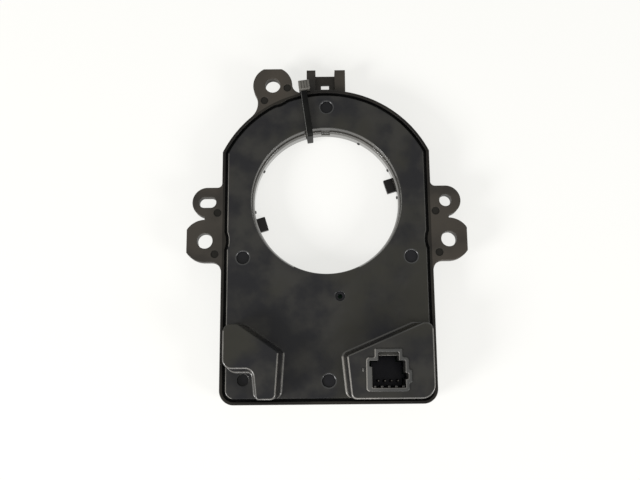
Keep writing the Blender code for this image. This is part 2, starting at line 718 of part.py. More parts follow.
def harness_rail():
    """Two posts with facing grooves, and the bridge between them with its window."""
    foot = CASE_ARC_RADIUS * math.cos(math.asin(RAIL_OUTER / CASE_ARC_RADIUS)) - OVERLAP
    left = rectangle(-RAIL_OUTER, -RAIL_INNER, foot, RAIL_TOP)
    right = rectangle(RAIL_INNER, RAIL_OUTER + RAIL_RIGHT_EXTRA, foot - OVERLAP, RAIL_TOP)
    bridge = rectangle(-RAIL_INNER - OVERLAP, RAIL_INNER + OVERLAP, foot, BRIDGE_TOP)
    window_top = BRIDGE_TOP - WINDOW_BELOW
    window = rectangle(-WINDOW_HALF, WINDOW_HALF, window_top - WINDOW_HEIGHT, window_top)
    posts = [plate("rail_post_left", [left], RAIL_REAR, RAIL_FRONT)]
    posts.append(plate("rail_post_right", [right], RAIL_REAR, RAIL_FRONT))
    posts.append(plate("rail_bridge", [bridge, window], BRIDGE_REAR, BRIDGE_FRONT))
    middle = (BRIDGE_FRONT + RAIL_FRONT) / 2
    groove_half = RAIL_INNER + RAIL_GROOVE
    groove_foot = CASE_ARC_RADIUS + RAIL_GROOVE_FOOT
    groove = block(
        "rail_groove",
        (0, (groove_foot + RAIL_TOP + OVERLAP) / 2, middle),
        (2 * groove_half, RAIL_TOP + OVERLAP - groove_foot, RAIL_GROOVE_WIDTH),
    )
    return posts, groove


def ears():
    """The three ears with their holes: the right pair of lobes, its mirror image and the top one."""
    right, left = side_ear(), mirrored(side_ear())
    reach, end = (SLOT_LENGTH - SLOT_WIDTH) / 2, SLOT_WIDTH / 2
    slot = arc((reach - LOCATOR[0], LOCATOR[1]), end, -90, 90, 15)
    slot += arc((-reach - LOCATOR[0], LOCATOR[1]), end, 90, 270, 15)
    locator = circle(LOCATOR, LOCATOR_RADIUS)
    right_screw = circle(SCREW_HOLE, SCREW_HOLE_RADIUS)
    left_screw = circle((-SCREW_HOLE[0], SCREW_HOLE[1]), SCREW_HOLE_RADIUS)
    top_screw = circle(TOP_HOLE, SCREW_HOLE_RADIUS)
    return [
        plate("ear_right", [right, locator, right_screw], EAR_REAR, RIM_TOP),
        plate("ear_left", [left, slot, left_screw], EAR_REAR, RIM_TOP),
        plate("ear_top", [top_ear(), top_screw], EAR_REAR, RIM_TOP),
    ]


def ear_dimples():
    """The shallow round marks beside the holes of the ears."""
    places = [(TOP_HOLE[0] + x, TOP_HOLE[1] + y) for x, y in TOP_DIMPLES]
    for hole, (x, y) in ((LOCATOR, LOCATOR_DIMPLE), (SCREW_HOLE, SCREW_DIMPLE)):
        places.append((hole[0] - x, hole[1] - y))
        places.append((x - hole[0], hole[1] - y))
    rear, front = RIM_TOP - DIMPLE_DEPTH, RIM_TOP + OVERLAP
    return [
        cylinder(f"dimple_{i}", place, DIMPLE_RADIUS, rear, front, SMALL_HOLE_SIDES)
        for i, place in enumerate(places)
    ]


def board_rests():
    """Blocks on the case's walls that the board lies on: four at the sides, one at the foot."""
    rear, front = FLOOR / 2, BOARD_REAR - GAP
    wall, floor_end = CASE_HALF_WIDTH - LEDGE_WALL + OVERLAP, LEDGE_WALL - CASE_FOOT - OVERLAP
    rests = []
    for i, (x, y) in enumerate(CORNER_RESTS):
        reach = wall - abs(x) + REST_SIDE / 2
        centre = (math.copysign(wall - reach / 2, x), y, (rear + front) / 2)
        rests.append(block(f"board_rest_{i}", centre, (reach, REST_SIDE, front - rear)))
    depth = REST_FOOT_Y + REST_SIDE / 2 - floor_end
    centre = (0, floor_end + depth / 2, (rear + front) / 2)
    rests.append(block("board_rest_foot", centre, (REST_SIDE, depth, front - rear)))
    return rests


def rear_case(look):
    case = plate("case_body", [case_outline(0)], 0, RIM_TOP)
    pocket = plate("case_pocket", [case_outline(LEDGE_WALL)], FLOOR, RIM_TOP + OVERLAP)
    rim_pocket = case_outline(RIM_WALL, SCREW_CLEARANCE - (COVER_INSET - RIM_WALL))
    rim = plate("case_rim_pocket", [rim_pocket], LEDGE_TOP, RIM_TOP + OVERLAP)
    cut(case, pocket, rim)

    posts, rail_groove = harness_rail()
    collar_radius = CASE_BORE + COLLAR_WALL
    collar = cylinder("case_collar", (0, 0), collar_radius, FLOOR / 2, COLLAR_TOP, BORE_SIDES)
    bosses = []
    seats = []
    for i in range(len(GEAR_TEETH)):
        place = gear_place(i)
        radius = STUB_RADIUS + GAP
        boss = cylinder(f"gear_boss_{i}", place, radius + BOSS_WALL, FLOOR / 2, COLLAR_TOP)
        bosses.append(boss)
        seats.append(cylinder(f"gear_seat_{i}", place, radius, STUB_SEAT, RIM_TOP))
    back_half = TIE_WIDTH / 2 + GAP + GROOVE_WALL
    back = rectangle(0, TIE_REACH, FLOOR / 2, COLLAR_TOP - 2 * GAP)
    channel_back = in_tie_frame(plate("groove_back", [back], -back_half, back_half))
    join(case, *ears(), *posts, collar, channel_back, *bosses, *board_rests())
    bore = cylinder("case_bore", (0, 0), CASE_BORE, -OVERLAP, RIM_TOP, BORE_SIDES)
    cut(case, bore, *seats, rail_groove, tie_groove(), *ear_dimples())
    return finish(case, "rear_case", look)


def left_pad_corners():
    """The left pad's face: the notch for the peg hole is at its lower left."""
    notch, wall = NOTCH_HEIGHT - COVER_FOOT, NOTCH_WIDTH - COVER_SIDE
    return [
        (LEFT_PAD_RIGHT, -PAD_START - LEFT_PAD_SLOPE, 0.7 * MM),
        (LEFT_PAD_TOP - COVER_SIDE, -PAD_START, 1.2 * MM),
        (-COVER_SIDE, -PAD_START, 2.8 * MM),
        (-COVER_SIDE, notch, 3.2 * MM),
        (wall, notch, 2.8 * MM),
        (wall + NOTCH_LEAN, -COVER_FOOT, 1.2 * MM),
        (LEFT_PAD_RIGHT - LEFT_PAD_LEAN, -COVER_FOOT, 1.8 * MM),
    ]


def right_pad_corners():
    """The right pad's face, round the connector socket."""
    left = COVER_SIDE - RIGHT_PAD_WIDTH
    return [
        (left + RIGHT_PAD_LEAN, -COVER_FOOT, 1.8 * MM),
        (COVER_SIDE, -COVER_FOOT, 4.6 * MM),
        (COVER_SIDE, -PAD_START, 2.6 * MM),
        (COVER_SIDE - RIGHT_PAD_TOP, -PAD_START, 1.2 * MM),
        (left, -PAD_START - RIGHT_PAD_SLOPE, 0.8 * MM),
    ]


def pad(name, corners, drafts):
    """A raised pad: drafted walls and a rounded edge round its face, and the hollow under it."""

    def section(drop, draft_share, inset):
        shifts = [draft * draft_share - inset for draft in drafts]
        return rounded(drafted(corners, shifts)), PAD_FACE - drop

    rise = PAD_FACE - COVER_FACE
    sections = [
        section(rise + COVER_THICK / 2, 1, 0),
        section(PAD_EDGE, PAD_EDGE / rise, 0),
        section(0.3 * PAD_EDGE, 0, 0.3 * PAD_EDGE),
        section(0, 0, PAD_EDGE),
    ]
    depth = PAD_FACE - COVER_UNDER + OVERLAP
    hollow = [section(depth, 1, PAD_WALL), section(PAD_WALL, 0, PAD_WALL)]
    return loft(name, sections), loft(name + "_hollow", hollow)


def socket_outline(grow, latch_grow):
    """The connector cavity: a box with a latch recess on top and a key at each side."""
    x, y = SOCKET
    left, right = x - SOCKET_WIDTH / 2 - grow, x + SOCKET_WIDTH / 2 + grow
    foot, top = y - SOCKET_HEIGHT / 2 - grow, y + SOCKET_HEIGHT / 2 + grow
    latch_left, latch_right = x - LATCH_WIDTH / 2 - grow, x + LATCH_WIDTH / 2 + grow
    latch_top = y + SOCKET_HEIGHT / 2 + LATCH_HEIGHT + latch_grow
    key_top = y + KEY_ABOVE + grow
    key_foot = key_top - KEY_HEIGHT - 2 * grow
    return [
        (left, foot),
        (right, foot),
        (right, key_foot),
        (right + KEY_DEPTH, key_foot),
        (right + KEY_DEPTH, key_top),
        (right, key_top),
        (right, top),
        (latch_right, top),
        (latch_right, latch_top),
        (latch_left, latch_top),
        (latch_left, top),
        (left - KEY_DEPTH * (grow == 0), top),
        (left - KEY_DEPTH * (grow == 0), top - KEY_HEIGHT),
        (left, top - KEY_HEIGHT),
    ]


def socket_fittings():
    """The bar across the latch recess and the guides along the socket's foot."""
    x, y = SOCKET
    bar_y = y + SOCKET_HEIGHT / 2 + LATCH_HEIGHT - LATCH_BAR / 2
    bar = block(
        "latch_bar",
        (x, bar_y + OVERLAP / 2, PAD_FACE - LATCH_BAR_DEPTH),
        (LATCH_WIDTH + OVERLAP, LATCH_BAR + OVERLAP, LATCH_BAR_DEPTH),
    )
    foot, height = y - SOCKET_HEIGHT / 2, PAD_FACE - COVER_FACE
    fittings = [bar]
    for i in range(GUIDE_COUNT):
        shift = (i - (GUIDE_COUNT - 1) / 2) * GUIDE_PITCH
        centre = (x + shift, foot + (GUIDE_SIZE - OVERLAP) / 2, COVER_FACE + height / 2)
        size = (GUIDE_SIZE, GUIDE_SIZE + OVERLAP, height)
        fittings.append(block(f"socket_guide_{i}", centre, size))
    return fittings


def cover_ribs():
    """Short ribs under the cover that hold the board down on its rests."""
    rear, front = BOARD_FRONT + GAP, COVER_UNDER + OVERLAP
    ribs = []
    for i, (x, y) in enumerate(RIB_RESTS):
        across = x * (1 - RIB_INSET / REST_SIDE_X)
        centre = (across, y + RIB_RISE, (rear + front) / 2)
        ribs.append(block(f"cover_rib_{i}", centre, (*RIB_SIZE, front - rear)))
    return ribs


def bore_outline():
    """The cover's bore, with a shallow shelf along the side towards the pads."""
    first, last = SHELF_ANGLES
    step = 360 / BORE_SIDES
    shelf = arc((0, 0), COVER_BORE - SHELF_WIDTH, first, last, step)
    return shelf + arc((0, 0), COVER_BORE, last, first + 360, step)


def cover_holes():
    """Cutters for the bore, the round recesses, the sight hole and the peg hole."""
    front = COVER_FACE + OVERLAP
    floor = COVER_FACE - RECESS_DEPTH
    tools = [plate("cover_bore", [bore_outline()], 0, PAD_FACE)]
    radius, chamfer = RECESS_RADIUS - RECESS_CHAMFER, RECESS_CHAMFER
    for i, place in enumerate(RECESSES):
        lip = COVER_FACE + SAME_POINT
        tools.append(cylinder(f"recess_{i}", place, radius, floor, lip, flare=chamfer))
    tools.append(cylinder("sight_recess", SIGHT_HOLE, SIGHT_RADIUS, floor, front))
    rear = COVER_UNDER - OVERLAP
    sight = cylinder("sight_hole", SIGHT_HOLE, SIGHT_HOLE_RADIUS, rear, front, SMALL_HOLE_SIDES)
    tools.append(sight)
    peg_floor = COVER_FACE - PEG_HOLE_DEPTH
    tools.append(cylinder("peg_hole", PEG_HOLE, PEG_HOLE_RADIUS, peg_floor, front))
    return tools


def front_cover(look):
    outline = case_outline(COVER_INSET, SCREW_CLEARANCE)
    edge = shrunk(outline, COVER_EDGE)
    sections = [(outline, COVER_UNDER), (outline, COVER_FACE - COVER_EDGE), (edge, COVER_FACE)]
    cover = loft("cover_plate", sections)
    none, slope, short = -PAD_OVERHANG, PAD_DRAFT, PAD_SHORT_DRAFT
    left_drafts = [slope, none, none, short, short, none, slope]
    right_drafts = [none, none, none, slope, slope]
    left_body, left_hollow = pad("left_pad", left_pad_corners(), left_drafts)
    right_body, right_hollow = pad("right_pad", right_pad_corners(), right_drafts)
    join(cover, left_body, right_body)
    cut(cover, left_hollow, right_hollow)

    wall = socket_outline(SOCKET_LIP, SOCKET_LIP)
    lip_front = PAD_FACE + SOCKET_LIP_RAISED
    join(cover, plate("socket_shroud", [wall], BOARD_FRONT + GAP, lip_front))
    cavity = plate("socket_cavity", [socket_outline(0, 0)], BOARD_REAR, lip_front + OVERLAP)
    cut(cover, cavity)
    ring_front = COVER_UNDER + OVERLAP
    ring = cylinder("cover_ring", (0, 0), SLEEVE_OUTER, COVER_RING_REAR, ring_front, BORE_SIDES)
    join(cover, *socket_fittings(), *cover_ribs(), ring)
    cut(cover, *cover_holes())
    return finish(cover, "front_cover", look)


def drive_lug(index, angle):
    """A lug that reaches into the bore from a root under the sleeve."""
    tip, root, front = SLEEVE_BORE - LUG_REACH, SLEEVE_BORE + LUG_ROOT, LUG_REAR + LUG_THICK
    profile = [(tip, LUG_REAR), (root, LUG_REAR), (root, SLEEVE_REAR + OVERLAP)]
    profile += [(SLEEVE_BORE + OVERLAP, SLEEVE_REAR + OVERLAP), (SLEEVE_BORE + OVERLAP, front)]
    profile += [(tip, front)]
    lug = plate(f"drive_lug_{index}", [profile], -LUG_WIDTH / 2, LUG_WIDTH / 2)
    return upright(lug, math.radians(angle - 90))


def rotor(look):
    rear_outer = CASE_BORE - GAP
    skirt_top = ROTOR_SEAT + GAP
    lead, lead_depth = SLEEVE_LEAD
    profile = [
        (SLEEVE_BORE, SLEEVE_FRONT - lead_depth),
        (SLEEVE_BORE + lead, SLEEVE_FRONT),
        (SLEEVE_OUTER, SLEEVE_FRONT),
        (SLEEVE_OUTER, skirt_top),
        (rear_outer, skirt_top),
        (rear_outer, SLEEVE_REAR),
        (SLEEVE_BORE, SLEEVE_REAR),
    ]
    body = turned("rotor_body", profile, BORE_SIDES)
    inside = circle((0, 0), (rear_outer + SLEEVE_OUTER) / 2, BORE_SIDES)
    ring = [gear_outline(ROTOR_TEETH, 0.0), inside]
    pieces = [plate("rotor_gear", ring, ROTOR_SEAT, GEAR_TOP)]
    pieces += [drive_lug(i, angle) for i, angle in enumerate(LUG_ANGLES)]
    for i, angle in enumerate(NUB_ANGLES):
        length = NUB_REACH + OVERLAP
        centre = (SLEEVE_BORE - NUB_REACH + length / 2, 0, SLEEVE_REAR + NUB_SIZE / 2)
        size = (length, NUB_SIZE, NUB_SIZE)
        pieces.append(block(f"rotor_nub_{i}", centre, size, math.radians(angle)))
    join(body, *pieces)
    notch_size = (INDEX_WIDTH, 2 * INDEX_REACH, 2 * INDEX_DEPTH)
    cut(body, block("index_notch", (0, SLEEVE_BORE, SLEEVE_FRONT), notch_size))
    return finish(body, "rotor", look)


def measuring_gear(index, look):
    """A small gear on its own axis, with a stub below and a pocket for the magnet on top."""
    place = BORE_AXIS + Vector((*gear_place(index), 0))
    teeth = gear_outline(GEAR_TEETH[index], meshed_tooth(index))
    gear = plate("gear_teeth", [teeth], ROTOR_SEAT, GEAR_TOP, place)
    pocket_radius = MAGNET_RADIUS + MAGNET_GAP
    hub_rear, stub_top = ROTOR_SEAT + GEAR_THICK / 2, ROTOR_SEAT + GEAR_THICK / 4
    hub = cylinder("gear_hub", (0, 0), pocket_radius + HUB_WALL, hub_rear, HUB_TOP, place=place)
    stub = cylinder("gear_stub", (0, 0), STUB_RADIUS, STUB_SEAT + GAP, stub_top, place=place)
    floor, top = HUB_TOP - MAGNET_THICK - MAGNET_GAP, HUB_TOP + OVERLAP
    pocket = cylinder("magnet_pocket", (0, 0), pocket_radius, floor, top, place=place)
    join(gear, hub, stub)
    cut(gear, pocket)
    return finish(gear, f"measuring_gear_{'ab'[index]}", look)


def magnet(index, look):
    place = BORE_AXIS + Vector((*gear_place(index), 0))
    rear = HUB_TOP - MAGNET_THICK
    made = cylinder("magnet_body", (0, 0), MAGNET_RADIUS, rear, HUB_TOP, place=place)
    return finish(made, f"magnet_{'ab'[index]}", look)


def pin_places():
    middle, row = SOCKET[0] + PIN_SHIFT, SOCKET[1] - PIN_DROP
    return [(middle + (i - (PIN_COUNT - 1) / 2) * PIN_PITCH, row) for i in range(PIN_COUNT)]


def board_outline():
    """The board's outline: straight sides and foot, and an arc that clears the rotor."""
    half, radius = BOARD_HALF_WIDTH, BOARD_ARC
    meet = math.degrees(math.asin(BOARD_TOP / radius))
    foot = [(-half, -BOARD_FOOT, BOARD_CORNER), (half, -BOARD_FOOT, BOARD_CORNER)]
    top = [(half, -BOARD_TOP, BOARD_CORNER / 2), (-half, -BOARD_TOP, BOARD_CORNER / 2)]
    corners = rounded([top[1], *foot, top[0]])
    return corners + arc((0, 0), radius, -meet, meet - 180)


def circuit_board(look):
    radius = PIN_SIDE / 2 * math.sqrt(2) + SOLDER_GAP / 2
    holes = [circle(point, radius, SMALL_HOLE_SIDES / 2) for point in pin_places()]
    board = plate("board_body", [board_outline(), *holes], BOARD_REAR, BOARD_FRONT)
    return finish(board, "circuit_board", look)


def chip(name, centre, size, front_side, look):
    """A chip package on the board's front or rear, with a small chamfer round its top."""
    length, width, thick = size
    base = BOARD_FRONT + SOLDER_GAP if front_side else BOARD_REAR - SOLDER_GAP - thick
    inset = CHIP_DRAFT * thick + CHIP_BEVEL

    def section(shrink):
        half_length, half_width = length / 2 - shrink, width / 2 - shrink
        return rectangle(-half_length, half_length, -half_width, half_width)

    end, middle = section(inset), section(0)
    sections = [(end, base), (middle, base + thick / 2), (end, base + thick)]
    place = BORE_AXIS + Vector((*centre, 0))
    return finish(loft(name + "_body", sections, place), name, look)


def can(name, centre, radius, height, look):
    """A round component standing on the board."""
    base = BOARD_FRONT + SOLDER_GAP
    waist = radius * CAN_WAIST
    foot, lower, upper, shoulder = CAN_WAIST_HEIGHTS
    profile = [
        (0, base + height),
        (radius - CAN_EDGE, base + height),
        (radius, base + height - CAN_EDGE),
        (radius, base + shoulder),
        (waist, base + upper),
        (waist, base + lower),
        (radius, base + foot),
        (radius, base),
        (0, base),
    ]
    place = BORE_AXIS + Vector((*centre, 0))
    made = turned(name + "_body", profile, HOLE_SIDES, place)
    return finish(made, name, look)


def pin_header(look):
    """The block that carries the contacts and closes the rear of the socket."""
    outline = distinct(socket_outline(-GAP, -GAP))
    half = PIN_SIDE / 2 + SOLDER_GAP
    holes = [rectangle(px - half, px + half, py - half, py + half) for px, py in pin_places()]
    base = BOARD_FRONT + SOLDER_GAP
    made = plate("header_body", [outline, *holes], base, base + HEADER_THICK)
    return finish(made, "pin_header", look)


def connector_pin(index, look):
    x, y = pin_places()[index]
    rear = BOARD_REAR - PIN_TAIL
    half, point = PIN_SIDE / 2, PIN_SIDE / 4

    def section(size):
        return rectangle(-size, size, -size, size)

    sections = [(section(point), rear), (section(half), rear + PIN_TAIL / 2)]
    sections += [(section(half), PIN_TIP - PIN_TAPER), (section(point), PIN_TIP)]
    made = loft("pin_body", sections, BORE_AXIS + Vector((x, y, 0)))
    return finish(made, f"connector_pin_{index + 1}", look)


def shipping_tie(look):
    """The cable tie: a closed band round the ring of the sensor, with its ribbed head outside."""
    front = RIM_TOP + TIE_REST

    def loop(thick):
        rear, top = TIE_REAR + TIE_THICK - thick, front + thick
        corners = rectangle(-thick, TIE_REACH + thick, rear, top)
        bends = [TIE_REAR_BEND, *[TIE_BEND] * 3]
        return rounded([(x, z, bend + thick) for (x, z), bend in zip(corners, bends)])

    half, head_half = TIE_WIDTH / 2, TIE_HEAD_WIDTH / 2
    loops = [loop(TIE_THICK), loop(0)]
    band = in_tie_frame(plate("tie_band", loops, -half, half))
    near, far = TIE_REACH - TIE_HEAD_PROUD, TIE_REACH + TIE_HEAD_LENGTH
    head = [
        (near, TIE_HEAD_REAR, 0),
        (far, TIE_HEAD_REAR, TIE_HEAD_CORNER),
        (far, TIE_HEAD_FRONT, TIE_HEAD_CORNER),
        (near, TIE_HEAD_FRONT, TIE_HEAD_CORNER / 2),
    ]
    sides = TIE_HEAD_SHIFT - head_half, TIE_HEAD_SHIFT + head_half
    head_block = in_tie_frame(plate("tie_head", [rounded(head)], *sides))
    grooves = []
    pitch = TIE_HEAD_WIDTH / TIE_RIBS
    floor = TIE_HEAD_FRONT - TIE_RIB_DEPTH
    left, right = TIE_REACH + TIE_RIB_MARGIN, far - TIE_RIB_MARGIN
    for i in range(1, TIE_RIBS):
        across, width = sides[0] + i * pitch, pitch / 6
        slot = rectangle(left, right, floor, TIE_HEAD_FRONT + OVERLAP)
        grooves.append(in_tie_frame(plate(f"tie_rib_{i}", [slot], across - width, across + width)))
    join(band, head_block)
    cut(band, *grooves)
    return finish(band, "shipping_tie", look)


def build():
    black = material("black_plastic", (0.030, 0.030, 0.031), 0.5)
    case_black = material("case_plastic", (0.035, 0.031, 0.028), 0.5)
    sleeve = material("rotor_plastic", (0.045, 0.042, 0.038), 0.4)
    nylon = material("white_acetal", (0.75, 0.74, 0.70), 0.45)
    steel = material("magnet_coating", (0.35, 0.35, 0.36), 0.35, 0.9)
    board_green = material("board_laminate", (0.02, 0.16, 0.07), 0.4)
    epoxy = material("chip_epoxy", (0.02, 0.02, 0.02), 0.55)
    can_metal = material("can_aluminium", (0.72, 0.72, 0.72), 0.3, 1.0)
    tin = material("tinned_brass", (0.70, 0.66, 0.58), 0.3, 1.0)
    header_black = material("header_plastic", (0.022, 0.022, 0.022), 0.55)
    tie_grey = material("tie_nylon", (0.110, 0.104, 0.095), 0.4)

    rear_case(case_black)
    front_cover(black)
    rotor(sleeve)
    for i in range(len(GEAR_TEETH)):
        measuring_gear(i, nylon)
        magnet(i, steel)
    circuit_board(board_green)
    for i in range(len(GEAR_TEETH)):
        chip(f"angle_sensor_chip_{'ab'[i]}", gear_place(i), SENSOR_CHIP, False, epoxy)
    for name, (x, above, *size) in CHIPS.items():
        chip(name, (x, above - CASE_FOOT), size, True, epoxy)
    can("supply_capacitor", SUPPLY_CAN, SUPPLY_CAN_RADIUS, SUPPLY_CAN_HEIGHT, can_metal)
    can("backup_capacitor", BACKUP_CAN, BACKUP_CAN_RADIUS, BACKUP_CAN_HEIGHT, can_metal)
    chip("filter_choke", CHOKE, (CHOKE_WIDTH, CHOKE_LENGTH, CHOKE_HEIGHT), True, epoxy)
    pin_header(header_black)
    for i in range(PIN_COUNT):
        connector_pin(i, tin)
    shipping_tie(tie_grey)


clear_scene()
sensor = collection("steering_angle_sensor")
helpers = collection("helpers")
build()
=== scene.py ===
"""Looks of the steering angle sensor: its mouldings, their finishes, the light and the camera."""

from __future__ import annotations

import json
import logging
import math
from collections.abc import Callable
from dataclasses import dataclass
from enum import Enum

import bmesh
import bpy
from mathutils import Euler, Matrix, Vector


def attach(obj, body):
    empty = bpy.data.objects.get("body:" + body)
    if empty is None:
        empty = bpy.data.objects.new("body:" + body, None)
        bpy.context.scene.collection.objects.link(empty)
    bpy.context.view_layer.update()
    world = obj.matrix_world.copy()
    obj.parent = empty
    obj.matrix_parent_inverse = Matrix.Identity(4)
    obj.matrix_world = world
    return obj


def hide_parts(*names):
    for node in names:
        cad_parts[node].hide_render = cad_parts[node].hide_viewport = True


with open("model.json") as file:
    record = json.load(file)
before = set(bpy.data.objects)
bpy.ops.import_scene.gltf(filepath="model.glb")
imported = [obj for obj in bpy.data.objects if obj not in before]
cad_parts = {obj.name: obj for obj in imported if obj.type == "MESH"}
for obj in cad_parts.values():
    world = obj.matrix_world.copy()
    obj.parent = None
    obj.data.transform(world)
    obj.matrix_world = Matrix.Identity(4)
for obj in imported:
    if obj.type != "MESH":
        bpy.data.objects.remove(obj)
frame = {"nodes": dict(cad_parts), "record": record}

LOG = logging.getLogger("steering_angle_sensor")
MM = 0.001

Pair = tuple[float, float]
Point = Pair
Triple = tuple[float, float, float]
Colour = Triple
Outline = list[Point]
Ring = tuple[Outline, float]
Output = bpy.types.NodeSocket
Inputs = dict[str | int, float | Colour | Output]
Parts = dict[str, Callable[[Vector, Vector], bool]]

FINE_STEP = 2.5
FILLET_STEP = 5.0
SLOT_STEP = 7.5
CORNER_STEPS = 8
FILLET_STEPS = 4
BEVEL_STEPS = 3
HOLE_SIDES = 48
BORE_SIDES = 192
SAME_POINT = 1e-4
OVERLAP = 0.5
GAP = 0.3
SMALLEST_FILLET = 0.2
SHARP_ANGLE = 34.0
EDGE_TILT = (0.2, 0.985)
EDGE_LIGHT = 0.25
QUARTER, HALF_TURN, THREE_QUARTERS, FULL_TURN = 90.0, 180.0, 270.0, 360.0
BORE: Point = (0.0, 0.0)
BORE_AXIS = Vector((0.0, 10.35, 0.0)) * MM

PATCH_RANGE = (0.38, 0.66)
TINT_RANGE = (0.5, 0.68)
GLOSS_RANGE = (0.3, 0.7)
TINT_SCALE, DUST_SCALE, GLOSS_SCALE = 0.43, 0.3, 3.1
COLOUR_DETAIL, GLOSS_DETAIL, GRAIN_DETAIL = 4.0, 3.0, 2.0
DUST_SOFTNESS = 0.2
BUMP_STRENGTH = 0.35
COAT_ROUGHNESS = 0.08


class Slot(Enum):
    """The record's material slots that the finishes stand for."""

    CASE = "case_plastic"
    COVER = "cover_plastic"
    ROTOR = "rotor_plastic"
    GEAR = "gear_acetal"
    MAGNET = "magnet_metal"
    BOARD = "board_laminate"
    CHIP = "chip_epoxy"
    CAN = "can_aluminium"
    HEADER = "header_plastic"
    PIN = "pin_brass"
    TIE = "tie_nylon"


def arc(centre: Point, radius: float, start: float, end: float, step: float = FINE_STEP) -> Outline:
    """Points along a circular arc.

    Args:
        centre: The arc's middle.
        radius: Its radius.
        start: Where it starts, in degrees.
        end: Where it ends, in degrees.
        step: The largest angle between two points, in degrees.

    Returns:
        The points, with both ends.
    """
    count = max(2, math.ceil(abs(end - start) / step))
    angles = [math.radians(start + (end - start) * i / count) for i in range(count + 1)]
    return [(centre[0] + radius * math.cos(a), centre[1] + radius * math.sin(a)) for a in angles]


def circle(centre: Point, radius: float, sides: int = HOLE_SIDES) -> Outline:
    """A full circle as an outline."""
    return arc(centre, radius, 0, FULL_TURN, FULL_TURN / sides)[:-1]


def rectangle(left: float, right: float, foot: float, top: float) -> Outline:
    """A rectangle from its four sides."""
    return [(left, foot), (right, foot), (right, top), (left, top)]


def mirrored(outline: Outline) -> Outline:
    """An outline turned over about the Y axis, still anticlockwise."""
    return [(-x, y) for x, y in reversed(outline)]


def distinct(outline: Outline) -> Outline:
    """An outline without the points that repeat the one before."""
    return [p for i, p in enumerate(outline) if math.dist(p, outline[i - 1]) > SAME_POINT]


def grown(outline: Outline, outwards: float) -> Outline:
    """Moves an outline out by the same distance all round.

    Args:
        outline: The outline, anticlockwise.
        outwards: The distance.

    Returns:
        The new outline, with as many points.
    """
    if not outwards:
        return outline
    moved = []
    for i, point in enumerate(outline):
        here = Vector(point)
        back = (here - Vector(outline[i - 1])).normalized()
        ahead = (Vector(outline[(i + 1) % len(outline)]) - here).normalized()
        normal = Vector((ahead.y, -ahead.x))
        middle = (normal + Vector((back.y, -back.x))).normalized()
        moved.append(tuple(here + middle * outwards / middle.dot(normal)))
    return moved


@dataclass(frozen=True)
class Corner:
    """A corner of an outline, with the radius that rounds it."""

    x: float
    y: float
    radius: float


def rounded(corners: list[Corner]) -> Outline:
    """Draws a closed outline.

    Args:
        corners: Its corners, each with the radius that rounds it.

    Returns:
        The outline.
    """
    points: Outline = []
    for i, corner in enumerate(corners):
        if not corner.radius:
            points.append((corner.x, corner.y))
            continue
        here = Vector((corner.x, corner.y))
        before, after = corners[i - 1], corners[(i + 1) % len(corners)]
        back = (Vector((before.x, before.y)) - here).normalized()
        ahead = (Vector((after.x, after.y)) - here).normalized()
        half = back.angle(ahead) / 2
        middle = here + (back + ahead).normalized() * corner.radius / math.sin(half)
        first = here + back * corner.radius / math.tan(half) - middle
        last = here + ahead * corner.radius / math.tan(half) - middle
        turn = first.angle_signed(last)
        for k in range(CORNER_STEPS + 1):
            spoke = first.copy()
            spoke.rotate(Matrix.Rotation(-turn * k / CORNER_STEPS, 2))
            points.append(tuple(middle + spoke))
    return points


def drafted(corners: list[Corner], shifts: list[float]) -> list[Corner]:
    """Moves each side of an outline out by a distance of its own.

    Args:
        corners: The outline's corners, anticlockwise.
        shifts: The distance of each side, the first from the first corner to the next.

    Returns:
        The corners where the moved sides meet, with fitting radii.
    """
    sides = []
    for i, corner in enumerate(corners):
        here, after = Vector((corner.x, corner.y)), corners[(i + 1) % len(corners)]
        along = (Vector((after.x, after.y)) - here).normalized()
        sides.append((here + Vector((along.y, -along.x)) * shifts[i], along))
    moved = []
    for i, corner in enumerate(corners):
        (start, along), (before, before_along) = sides[i], sides[i - 1]
        reach = (before - start).cross(before_along) / along.cross(before_along)
        point = start + along * reach
        bulge = math.copysign(1, before_along.cross(along))
        radius = corner.radius + bulge * (shifts[i] + shifts[i - 1]) / 2
        moved.append(Corner(point.x, point.y, max(radius, SMALLEST_FILLET)))
    return moved


def fillet(radius: float, steps: int = FILLET_STEPS) -> list[Point]:
    """A quarter round as pairs of inset and drop, from the wall to the face."""
    angles = [math.pi / 2 * i / steps for i in range(steps + 1)]
    return [(radius * (1 - math.cos(a)), radius * (1 - math.sin(a))) for a in angles]


class Operation(Enum):
    """What a Boolean does with the other shape."""

    JOIN = "UNION"
    CUT = "DIFFERENCE"


